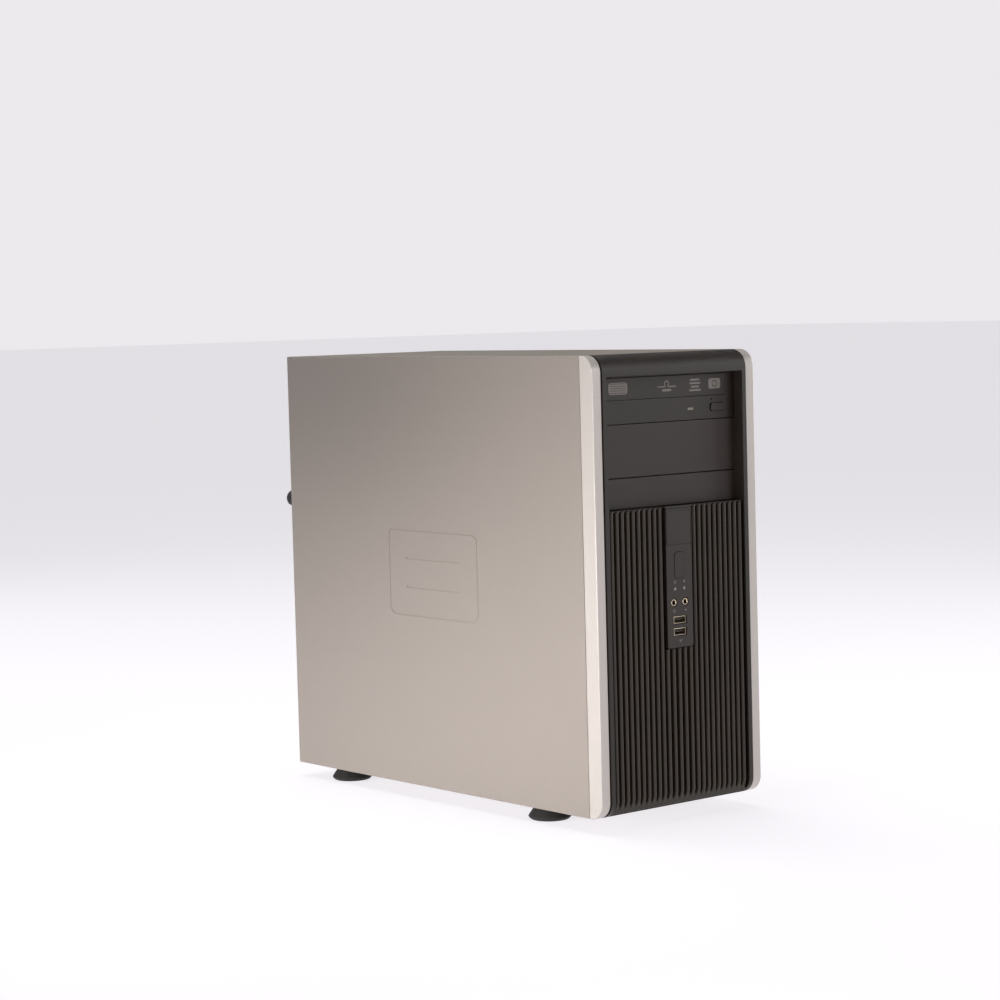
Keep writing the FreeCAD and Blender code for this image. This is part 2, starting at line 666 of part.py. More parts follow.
def rear_ports():
    """The sockets along the board's rear edge."""
    pairs = [port(13.4, 14.0, 243.0), port(13.4, 14.0, 243.0, 15.5)]
    wide = [port(31.0, 11.5, 206.0, 1.0)]
    network = [port(15.5, 13.0, NETWORK_Z, 16.0)]
    usb = [port(13.6, 6.8, z, lift) for z in (183.2, 164.0, 146.0) for lift in (0.6, 8.2)]
    sound = [ring(1, at, 5.0, JACK_R, (BOARD_REAR - 8, REAR_PLATE + SHEET + 1.0)) for at in sound_places()]
    return group(pairs + wide + network + usb + sound)


def io_shield():
    """The thin steel shield round the rear sockets."""
    y = (REAR_PLATE - 0.6, REAR_PLATE)
    sheet = span((IO_X[0] - 2, IO_X[1] + 1.5), y, (IO_Z[0] - 2, IO_Z[1] + 2))
    through = (y[0] - 1, y[1] + 1)
    windows = [span((FACE - x1, FACE - x0), through, z) for x0, x1, z in (
        (-0.4, 30.0, (242.6, 256.8)), (0.6, 12.9, (205.6, 237.4)), (-0.4, 29.4, (182.6, 198.9)),
        (0.2, 15.4, (163.6, 178.0)), (0.2, 15.4, (145.6, 160.0)))]
    windows += [rod(1, at, 5.3, through) for at in sound_places()]
    return sheet.cut(windows)


def slot_covers():
    """Four blank slot covers behind the rear sheet."""
    x = (SLOT_X[0] - 2, SLOT_X[1] + 1.5)
    y = (REAR_PLATE - 0.9, REAR_PLATE)
    return group([span(x, y, (slot_z(i) - 9.2, slot_z(i) + 9.2)) for i in range(SLOTS)])


def latch_ends():
    """The bottom and top of the slot covers' latch."""
    return (SLOT_FIRST - 9, slot_z(SLOTS - 1) + 9)


def slot_latch():
    """The hinged bar that holds the slot covers, turning on a pin behind the rear sheet."""
    y = (REAR_PLATE + SHEET + GAP, REAR_PLATE + SHEET + 4.3)
    z = latch_ends()
    bar = rounded((LATCH_X + 3.0, SLOT_X[0] + 5.0), y, z, 1, 2.0)
    barrel = rod(2, (LATCH_X, y[0] + 4.0), 4.0, z)
    neck = span((LATCH_X, LATCH_X + 4), (y[0] + 1.0, y[1]), z)
    lift = rounded((SLOT_X[0] + 4.0, SLOT_X[0] + 12.0), (y[0], y[0] + 2.0), (z[0] + 26, z[1] - 26), 1, 3.0)
    return fuse([bar, barrel, neck, lift]).cut(rod(2, (LATCH_X, y[0] + 4.0), 1.55, (z[0] - 1, z[1] + 1)))


def latch_pin():
    """The latch's hinge pin between two ears on the rear sheet."""
    y = REAR_PLATE + SHEET
    z = latch_ends()
    ears = [rounded((LATCH_X - 4, LATCH_X + 4), (y, y + GAP + 8.0), e, 2, 3.0, lambda c: c.y > y + 1)
            for e in ((z[0] - 1.8, z[0] - 0.5), (z[1] + 0.5, z[1] + 1.8))]
    return fuse([rod(2, (LATCH_X, y + GAP + 4.0), 1.5, (z[0] - 1.8, z[1] + 1.8))] + ears)


def hex_screw(axis, at, seat, out):
    """A hexagon washer-head screw; the head stands on seat towards out, the shank goes the other way."""
    head = rod(axis, at, SCREW_HEAD_R, sorted((seat, seat + out * SCREW_HEAD)))
    shank = rod(axis, at, SCREW_R, sorted((seat, seat - out * SCREW_LENGTH)))
    return fuse([head, shank])


def case_screws():
    """The screws that hold the board, the power supply and the hard drive, all alike."""
    board = [hex_screw(0, at, FACE, -1) for at in board_holes()]
    supply = [hex_screw(1, at, REAR_PLATE + SHEET, 1) for at in SUPPLY_SCREWS]
    half = HARD_DRIVE[0] / 2 + 1.6 + SHEET
    drive = [hex_screw(0, at, HARD_DRIVE_X + side * half, side) for side in (-1, 1) for at in DRIVE_SCREWS]
    return group(board + supply + drive)


def fan_screws():
    """The four self-tapping screws of the rear fan."""
    y = REAR_PLATE + SHEET
    screws = []
    for at in fan_corners(REAR_FAN, FAN_PITCH):
        screws.append(fuse([rod(1, at, 3.8, (y, y + 2.0)), rod(1, at, 1.5, (y - 9, y))]))
    return group(screws)


# ---- front sockets and switch, fixed to the steel front ----
def usb_port(z):
    """One front USB socket: an open shell and the tongue that carries the contacts."""
    y = (FRONT + 1.2, FRONT + 15.0)
    inside = span((-6.1, 6.1), (y[0] - 1, y[1] - 3), (z - 2.4, z + 2.4))
    shell = span((-6.6, 6.6), y, (z - 2.9, z + 2.9)).cut(inside)
    tongue = span((-5.4, 5.4), (y[0] + 1.4, y[1] - 3), (z - 0.1, z + 1.7))
    return fuse([shell, tongue])


def usb_ports():
    """The two front USB sockets."""
    return group([usb_port(z) for z in USB_Z])


def audio_jacks():
    """The two front sound sockets."""
    y = (FRONT + 0.9, FRONT + 15.0)
    return group([ring(1, (side * JACK_X, JACK_Z), 2.9, JACK_R, y) for side in (-1, 1)])


def front_io_board():
    """The small board behind the front sockets and its steel bracket's feet."""
    board = span((-14.0, 14.0), IO_BOARD_Y, (146.0, 192.0))
    foot_y = (IO_BOARD_Y[0] + 0.2, PLATE_Y[0])
    feet = [span(x, foot_y, (z, z + 8)) for x in ((-20, -14), (14, 20)) for z in (150, 182)]
    return fuse([board] + feet)


def power_switch():
    """The push switch behind the power button."""
    body = span((-6, 6), (FRONT + 14.0, PLATE_Y[0]), (200, 214))
    bridge = span((-20, 20), (FRONT + 16.0, PLATE_Y[0]), (203, 211))
    plunger = rod(1, (0, SWITCH_Z), 2.0, (FRONT + 12.4, FRONT + 14.0))
    return fuse([body, bridge, plunger])


def speaker():
    """The small internal speaker on the steel front."""
    y = PLATE_Y[1]
    return fuse([rod(1, (40.0, 116.0), 20.0, (y, y + 4.0)), rod(1, (40.0, 116.0), 11.0, (y + 4.0, y + 10.0))])


# ---- cables held inside the case ----
def cable(points, radius):
    """A round cable along straight runs joined by tangent arcs; prints its bend radii and volume."""
    p = [FreeCAD.Vector(*q) for q in points]
    edges, start, length, radii = [], p[0], 0.0, []
    for a, b, c in zip(p, p[1:], p[2:]):
        u, v = (a - b).normalize(), (c - b).normalize()
        turn = math.pi - u.getAngle(v)
        cut = 0.45 * min((b - a).Length, (c - b).Length)
        bend = cut / math.tan(turn / 2)
        first, last = b + u * cut, b + v * cut
        middle_dir = (u + v).normalize()
        centre = b + middle_dir * math.hypot(bend, cut)
        middle = centre - middle_dir * bend
        edges += [Part.LineSegment(start, first).toShape(), Part.Arc(first, middle, last).toShape()]
        length += (first - start).Length + bend * turn
        radii.append(round(bend, 1))
        start = last
    edges.append(Part.LineSegment(start, p[-1]).toShape())
    length += (p[-1] - start).Length
    circle = Part.Wire([Part.Circle(p[0], p[1] - p[0], radius).toShape()])
    solid = Part.Wire(edges).makePipeShell([circle], True, False)
    print("cable length", round(length), "radii", radii, "volume ratio",
          round(solid.Volume / (math.pi * radius ** 2 * length), 3))
    return solid


POWER_ROUTE = [
    (40, 57.5, 317.5), (40, 34, 317.5), (41, 10, 308), (43, -12, 286), (44, -28, 258), (46, -36, 232),
    (52, -38, 212), (64.9, -38, 210),
]
DRIVE_POWER_ROUTE = [
    (30, 57.5, 310), (30, 36, 310), (22, 14, 300), (8, -4, 282), (-6, -14, 258), (-14, -14, 236),
    (-15, -24, 228), (-15, -39, 228),
]
DRIVE_DATA_ROUTE = [
    (69.4, -31, 76), (52, -31, 78), (34, -26, 98), (20, -16, 130), (8, -10, 166), (-2, -12, 198),
    (-4, -24, 226), (-4, -39, 228),
]
OPTICAL_POWER_ROUTE = [
    (50, 57.5, 325), (50, 40, 325), (43, 20, 328), (35, 4, 331), (34, -10, 332), (34, -24.2, 332.2),
]
OPTICAL_DATA_ROUTE = [
    (69.4, -31, 86), (54, -31, 88), (36, -22, 106), (24, -6, 136), (18, 2, 176), (14, 4, 216),
    (8, 4, 256), (2, 2, 296), (0, -9, 328), (0, -24.2, 334),
]
FRONT_ROUTE = [
    (69.4, 4, 34.5), (56, 2, 35), (44, -22, 38), (34, -56, 50), (25, -90, 72), (16, -126, 102),
    (6, -160, 136), (0, -180, 150), (0, -193.6, 152),
]


# ---- front bezel ----
def cheek():
    """The silver right cheek: a front strip and a side wall, with rounded corners top and bottom."""
    front = FRONT + CHEEK_SET
    outer = nose((CHEEK_INNER, SIDE), front, BEZEL_BACK, (BOTTOM, TOP), CORNER_R)
    inner = nose((CHEEK_INNER - 5, SIDE - WALL), front + WALL, BEZEL_BACK + 5, (BOTTOM + WALL, TOP - WALL),
                 CORNER_R - WALL)
    return outer.cut(inner)


def bezel_frame():
    """The black front between the cheeks: its shell, the bay's inner walls, ears and push-in tabs."""
    outer = nose((-BLACK_HALF, BLACK_HALF), FRONT, BEZEL_BACK, (BOTTOM, TOP), CORNER_R)
    inner = nose((-BLACK_HALF + WALL, BLACK_HALF - WALL), FRONT + WALL, BEZEL_BACK + 5,
                 (BOTTOM + WALL, TOP - WALL), CORNER_R - WALL)
    mouth = (-OPEN_HALF, OPEN_HALF)
    bay = span(mouth, (FRONT - 5, BEZEL_BACK + 1), (BAY_BOTTOM, BAY_TOP))
    grille = span(mouth, (FRONT - 5, FRONT + RIB_SET + RIB_DEPTH + 0.2), (BOTTOM - 5, GRILLE_TOP))
    sleeve_y = (FRONT + WALL, BLANK_FACE)
    sleeve = span((-OPEN_HALF - 1.6, OPEN_HALF + 1.6), sleeve_y, (BAY_BOTTOM - 1.4, BAY_TOP + 1.6))
    ears = [span(sorted((i * (BLACK_HALF - 0.5), i * (SIDE - WALL))), (FRONT + 5, FRONT + 7), (30, 355))
            for i in (-1, 1)]
    tabs = [span(sorted((i * (BLACK_HALF - WALL), i * BLACK_HALF)), (BEZEL_BACK - 1, BEZEL_BACK + reach),
                 (z - 4, z + 4)) for i, reach in ((-1, 8), (1, 4)) for z in TAB_HEIGHTS]
    drive_room = span(wider(mouth, 2), (BLANK_FACE - 0.4, BLANK_FACE + 1), (BLANK_LINES[2], BAY_TOP + 2))
    return fuse([outer.cut(inner).cut(grille), sleeve] + ears + tabs).cut([bay, drive_room])


def rib_places():
    """The X places of the grille's ribs, closer together at the sides than at the centre."""
    centre = [(i - CENTRE_RIBS // 2) * CENTRE_PITCH for i in range(CENTRE_RIBS)]
    right = [SIDE_RIB_START + i * SIDE_PITCH for i in range(SIDE_RIBS)]
    return sorted([-x for x in right] + centre + right)


def bezel_grille():
    """The upright ribs, turned under at the bottom, joined by tie bars and a rail at each end."""
    front = FRONT + RIB_SET
    back = front + RIB_DEPTH
    pieces = []
    for x in rib_places():
        top = STRIP_BOTTOM - 0.3 if abs(x) < STRIP_HALF else GRILLE_TOP - 0.3
        x_span = (x - RIB_WIDTH / 2, x + RIB_WIDTH / 2)
        rib = nose(x_span, front, BEZEL_BACK, (BOTTOM + 0.2, TOP), CORNER_R - RIB_SET)
        pieces.append(rib.common(span(x_span, (front, back), (BOTTOM, top))))
    half_span = OPEN_HALF - 0.3
    for z in TIE_BARS:
        ends = [(-half_span, half_span)] if z < STRIP_BOTTOM else [(-half_span, -16.5), (16.5, half_span)]
        pieces += [span(x, (front + 3.5, back), (z - 1.2, z + 1.2)) for x in ends]
    pieces += [span(x, (front + 3.5, back), (GRILLE_TOP - 3.4, GRILLE_TOP - 0.3))
               for x in ((-half_span, -16.5), (16.5, half_span))]
    pieces.append(span((-half_span, half_span), (front + 3.5, back), (BOTTOM + 2.0, BOTTOM + 8.0)))
    pieces.append(span((-16.5, 16.5), (front + 3.5, back), (STRIP_BOTTOM - 3.4, STRIP_BOTTOM - 0.3)))
    return fuse(pieces)


def bay_blank(low, high):
    """One blank of the drive bays, a flat front with a folded rim behind."""
    x = (-OPEN_HALF - 1.4, OPEN_HALF + 1.4)
    z = (low + 0.25, high - 0.25)
    plate = rounded(x, (BLANK_FACE, BLANK_FACE + 7.0), z, 1, 0.8)
    return plate.cut(span(wider(x, -WALL), (BLANK_FACE + WALL, BLANK_FACE + 9), wider(z, -WALL)))


def io_cover():
    """The centre strip: a plate with a raised upper part and holes for the button, lights and sockets."""
    z = (STRIP_BOTTOM, GRILLE_TOP - 0.2)
    base = rounded((-STRIP_HALF, STRIP_HALF), (FRONT + 0.4, FRONT + 3.0), z, 1, 1.5)
    upper = rounded((-STRIP_HALF, STRIP_HALF), (FRONT, FRONT + 0.6), (STRIP_STEP, z[1]), 1, 1.5)
    rim = span((-STRIP_HALF + 1, STRIP_HALF - 1), (FRONT + 3.0, FRONT + 9.0), (z[0] + 1, z[1] - 1)).cut(
        span((-STRIP_HALF + 2.5, STRIP_HALF - 2.5), (FRONT + 2, FRONT + 10), (z[0] + 2.5, z[1] - 2.5)))
    through = (FRONT - 1, FRONT + 4)
    g = 0.35
    cuts = [rounded((-BUTTON_HALF - g, BUTTON_HALF + g), through, (BUTTON_Z[0] - g, BUTTON_Z[1] + g), 1, 3.3)]
    cuts += [rod(1, (side * LIGHT_X, LIGHT_Z), 1.3, through) for side in (-1, 1)]
    cuts += [rod(1, (side * JACK_X, JACK_Z), 3.4, through) for side in (-1, 1)]
    cuts += [span((-7.2, 7.2), through, (z - 3.4, z + 3.4)) for z in USB_Z]
    return fuse([base, upper, rim]).cut(cuts)


def light_pipes():
    """The two clear pins that carry the lamps' light to the front."""
    return group([rod(1, (side * LIGHT_X, LIGHT_Z), 1.3, (FRONT + 0.3, FRONT + 12.0)) for side in (-1, 1)])


def power_button():
    """The power button: a rounded cap and a stem that reaches the switch."""
    cap = rounded((-BUTTON_HALF, BUTTON_HALF), (FRONT + 0.1, FRONT + 5.0), BUTTON_Z, 1, 3.0)
    return fuse([cap, rod(1, (0, SWITCH_Z), 2.5, (FRONT + 5.0, FRONT + 12.4 - BUTTON_TRAVEL - GAP))])


def build():
    """Every node of the tower by name."""
    frame = fan_frame(FAN_SIZE, FAN_DEPTH, FAN_PITCH)
    rotor = fan_rotor(FAN_SIZE, FAN_DEPTH)
    small_frame = fan_frame(SMALL_FAN, FAN_DEPTH, SMALL_PITCH)
    small_rotor = fan_rotor(SMALL_FAN, FAN_DEPTH)
    supply_y = REAR_PLATE - SHEET - 1.9 - FAN_DEPTH
    return {
        "chassis_floor": chassis_floor(),
        "chassis_top": chassis_top(),
        "chassis_rear_panel": rear_panel(),
        "chassis_front_plate": front_plate(),
        "right_side_cover": right_cover(),
        "board_tray": board_tray(),
        "rubber_feet": rubber_feet(),
        "drive_cage": drive_cage(),
        "drive_lock_lever": drive_lock(),
        "hard_drive_base": hard_drive_base(),
        "hard_drive_cover": hard_drive_cover(),
        "optical_drive_case": optical_case(),
        "optical_drive_fascia": optical_fascia(),
        "drive_activity_lens": activity_lens(),
        "optical_tray": optical_tray(),
        "optical_tray_door": tray_door(),
        "eject_button": eject_button(),
        "power_supply_case": supply_case(),
        "power_supply_fan_guard": fan_guard(),
        "power_supply_inlet": power_inlet(),
        "power_supply_fan_frame": moved(small_frame, SUPPLY_FAN[0], supply_y, SUPPLY_FAN[1]),
        "power_supply_fan_rotor": moved(small_rotor, SUPPLY_FAN[0], supply_y, SUPPLY_FAN[1]),
        "rear_fan_frame": moved(frame, REAR_FAN[0], REAR_PLATE - FAN_DEPTH, REAR_FAN[1]),
        "rear_fan_rotor": moved(rotor, REAR_FAN[0], REAR_PLATE - FAN_DEPTH, REAR_FAN[1]),
        "processor_fan_frame": to_cooler(frame),
        "processor_fan_rotor": to_cooler(rotor),
        "processor_heat_sink": heat_sink(),
        "processor_socket": processor_socket(),
        "motherboard": motherboard(),
        "memory_sockets": memory_sockets(),
        "memory_modules": memory_modules(),
        "expansion_slots": expansion_slots(),
        "chipset_heat_sink": chipset_sink(),
        "capacitors": capacitors(),
        "coin_cell": coin_cell(),
        "board_connectors": board_connectors(),
        "rear_ports": rear_ports(),
        "io_shield": io_shield(),
        "slot_covers": slot_covers(),
        "slot_cover_latch": slot_latch(),
        "case_screws": case_screws(),
        "fan_screws": fan_screws(),
        "front_usb_ports": usb_ports(),
        "front_audio_jacks": audio_jacks(),
        "front_io_board": front_io_board(),
        "power_switch": power_switch(),
        "internal_speaker": speaker(),
        "main_power_cable": cable(POWER_ROUTE, 5.0),
        "drive_power_cables": group([cable(DRIVE_POWER_ROUTE, 3.0), cable(OPTICAL_POWER_ROUTE, 3.0)]),
        "drive_data_cables": group([cable(DRIVE_DATA_ROUTE, 2.0), cable(OPTICAL_DATA_ROUTE, 2.0)]),
        "front_panel_cable": cable(FRONT_ROUTE, 2.2),
        "bezel_frame": bezel_frame(),
        "bezel_cheeks": group([cheek(), mirrored(cheek())]),
        "bezel_grille": bezel_grille(),
        "bay_blanks": group([bay_blank(*BLANK_LINES[:2]), bay_blank(*BLANK_LINES[1:])]),
        "io_cover_plate": io_cover(),
        "light_pipes": light_pipes(),
        "power_button": power_button(),
        "access_panel": access_panel(),
        "access_panel_thumbscrew": thumbscrew(),
    }


os.makedirs("parts", exist_ok=True)
for name, shape in build().items():
    shape.exportStep(os.path.join("parts", name + ".step"))
    print(name, shape.isValid(), len(shape.Solids), round(shape.Volume))
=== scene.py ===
import json
import logging
import math
from collections.abc import Iterable, Sequence
from dataclasses import dataclass, field
from enum import Enum
from typing import Any

import bmesh
import bpy
from mathutils import Matrix, Vector


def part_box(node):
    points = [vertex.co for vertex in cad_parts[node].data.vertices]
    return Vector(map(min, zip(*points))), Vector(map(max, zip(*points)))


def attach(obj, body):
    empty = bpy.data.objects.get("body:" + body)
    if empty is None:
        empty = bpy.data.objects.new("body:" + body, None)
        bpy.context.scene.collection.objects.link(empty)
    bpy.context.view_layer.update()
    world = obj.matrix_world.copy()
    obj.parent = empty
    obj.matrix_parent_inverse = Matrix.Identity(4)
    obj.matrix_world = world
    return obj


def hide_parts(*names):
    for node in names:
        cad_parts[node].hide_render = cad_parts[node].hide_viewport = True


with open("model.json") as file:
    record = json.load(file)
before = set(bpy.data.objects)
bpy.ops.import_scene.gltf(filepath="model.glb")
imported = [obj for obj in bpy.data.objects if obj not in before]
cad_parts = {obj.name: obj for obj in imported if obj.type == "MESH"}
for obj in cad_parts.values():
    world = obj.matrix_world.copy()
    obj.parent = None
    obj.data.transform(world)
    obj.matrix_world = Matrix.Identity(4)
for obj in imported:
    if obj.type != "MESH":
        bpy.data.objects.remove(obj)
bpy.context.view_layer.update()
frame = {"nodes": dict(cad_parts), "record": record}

LOG = logging.getLogger("tower")
MM = 0.001

Pair = tuple[float, float]
Triple = tuple[float, float, float]


class Axis(Enum):
    """The three directions of the frame."""

    X = 0
    Y = 1
    Z = 2


class Grain(Enum):
    """The kinds of surface that a finish can have."""

    PAINT = "sprayed silver paint"
    MOULDED = "fine spark-textured plastic"
    SPANGLE = "galvanised sheet"
    PLATED = "nickel plate"
    CAST = "cast metal"
    DRAWN = "extruded metal with lines along it"
    LAMINATE = "circuit board with copper under the mask"
    SHEET = "plain backdrop paper"
    RUBBER = "matt rubber"
    SLEEVE = "cable sleeving"
    CLEAR = "clear plastic"


# ---------------------------------------------------------------- shader maths
class Channel:
    """A number in a node tree, whose arithmetic adds Math nodes."""

    def __init__(self, net: "Net", socket: bpy.types.NodeSocket) -> None:
        """Wrap one output socket.

        Args:
            net: the node tree that the socket is in.
            socket: the output that carries the number.
        """
        self.net = net
        self.socket = socket

    def _math(self, operation: str, *values: "Channel | float") -> "Channel":
        """Add one Math node."""
        return self.net.add("ShaderNodeMath", {"operation": operation}, dict(enumerate(values)))

    def __add__(self, other: "Channel | float") -> "Channel":
        """Sum."""
        return self._math("ADD", self, other)

    __radd__ = __add__

    def __mul__(self, other: "Channel | float") -> "Channel":
        """Product."""
        return self._math("MULTIPLY", self, other)

    __rmul__ = __mul__

    def __sub__(self, other: "Channel | float") -> "Channel":
        """Difference."""
        return self._math("SUBTRACT", self, other)

    def __rsub__(self, other: float) -> "Channel":
        """Difference from a plain number."""
        return self._math("SUBTRACT", other, self)

    def above(self, level: "Channel | float") -> "Channel":
        """1 where this is greater than a level, else 0."""
        return self._math("GREATER_THAN", self, level)

    def frac(self) -> "Channel":
        """The part after the decimal point."""
        return self._math("FRACT", self)

    def size(self) -> "Channel":
        """The value without its sign."""
        return self._math("ABSOLUTE", self)

    def ramp(self, low: float, high: float) -> "Channel":
        """0 under low, 1 over high, and a smooth step between."""
        settings = {"interpolation_type": "SMOOTHSTEP"}
        return self.net.add("ShaderNodeMapRange", settings, {0: self, 1: low, 2: high, 3: 0.0, 4: 1.0})


class Net:
    """A material's node tree, with one way to add any node."""

    def __init__(self, name: str) -> None:
        """Start an empty material.

        Args:
            name: the material's name.
        """
        self.material = bpy.data.materials.new(name)
        self.material.use_nodes = True
        self.tree = self.material.node_tree
        self.tree.nodes.clear()
        self.place = self.add("ShaderNodeTexCoord", {}, {}, "Object")

    def add(self, kind: str, settings: dict[str, Any], values: dict[Any, Any], out: Any = 0) -> Channel:
        """Add a node.

        Args:
            kind: the node's type.
            settings: attributes set before its sockets.
            values: socket name or number to a value or a Channel.
            out: the output that is wanted.

        Returns:
            The wanted output.
        """
        node = self.tree.nodes.new(kind)
        for key, value in settings.items():
            if key == "stops":
                for i, (at, colour) in enumerate(value):
                    stop = node.color_ramp.elements[i] if i < 2 else node.color_ramp.elements.new(at)
                    stop.position, stop.color = at, (*colour, 1.0)
            else:
                setattr(node, key, value)
        for key, value in values.items():
            if isinstance(value, Channel):
                self.tree.links.new(value.socket, node.inputs[key])
            else:
                node.inputs[key].default_value = value
        return Channel(self, node.outputs[out])

    def stretched(self, scale: Triple) -> Channel:
        """Object coordinates scaled along each axis."""
        return self.add("ShaderNodeMapping", {}, {0: self.place, "Scale": scale})

    def noise(self, scale: float, detail: float = 3.0, place: Channel | None = None) -> Channel:
        """Noise from 0 to 1; scale is in cells per metre."""
        values = {"Vector": place or self.place, "Scale": scale, "Detail": detail, "Roughness": 0.55}
        return self.add("ShaderNodeTexNoise", {}, values)

    def cells(self, scale: float, out: str = "Distance", feature: str = "F1") -> Channel:
        """Voronoi cells; scale is in cells per metre."""
        values = {"Vector": self.place, "Scale": scale}
        return self.add("ShaderNodeTexVoronoi", {"feature": feature}, values, out)

    def mix(self, factor: Channel | float, first: Any, second: Any) -> Channel:
        """Blend two colours."""
        return self.add("ShaderNodeMix", {"data_type": "RGBA"}, {0: factor, 6: first, 7: second}, 2)

    def part(self, axis: Axis) -> Channel:
        """One component of the place on the object."""
        return self.add("ShaderNodeSeparateXYZ", {}, {0: self.place}, axis.value)

    def facing_up(self) -> Channel:
        """How far the surface faces up, from -1 to 1."""
        normal = self.add("ShaderNodeNewGeometry", {}, {}, "Normal")
        return self.add("ShaderNodeSeparateXYZ", {}, {0: normal}, 2)

    def bump(self, height: Channel, depth: float, under: Channel | None = None) -> Channel:
        """A bump of a depth in metres."""
        values: dict[Any, Any] = {"Strength": 1.0, "Distance": depth, "Height": height}
        if under is not None:
            values["Normal"] = under
        return self.add("ShaderNodeBump", {}, values)

    def shade(self, values: dict[str, Any]) -> bpy.types.Material:
        """Finish with a Principled shader.

        Args:
            values: its sockets.

        Returns:
            The material.
        """
        shader = self.add("ShaderNodeBsdfPrincipled", {}, values)
        output = self.tree.nodes.new("ShaderNodeOutputMaterial")
        self.tree.links.new(shader.socket, output.inputs[0])
        return self.material


# -------------------------------------------------------------------- finishes
PAPER_GLOW = 0.84


def linear(red: float, green: float, blue: float) -> tuple[float, float, float, float]:
    """A screen colour, 0 to 255, as the shader's linear colour."""
    def one(value: float) -> float:
        """One channel of it."""
        v = value / 255
        return v / 12.92 if v <= 0.04045 else ((v + 0.055) / 1.055) ** 2.4

    return (one(red), one(green), one(blue), 1.0)


def shaded(colour: Sequence[float], by: float) -> tuple[float, float, float, float]:
    """A colour made lighter or darker."""
    return (colour[0] * by, colour[1] * by, colour[2] * by, 1.0)


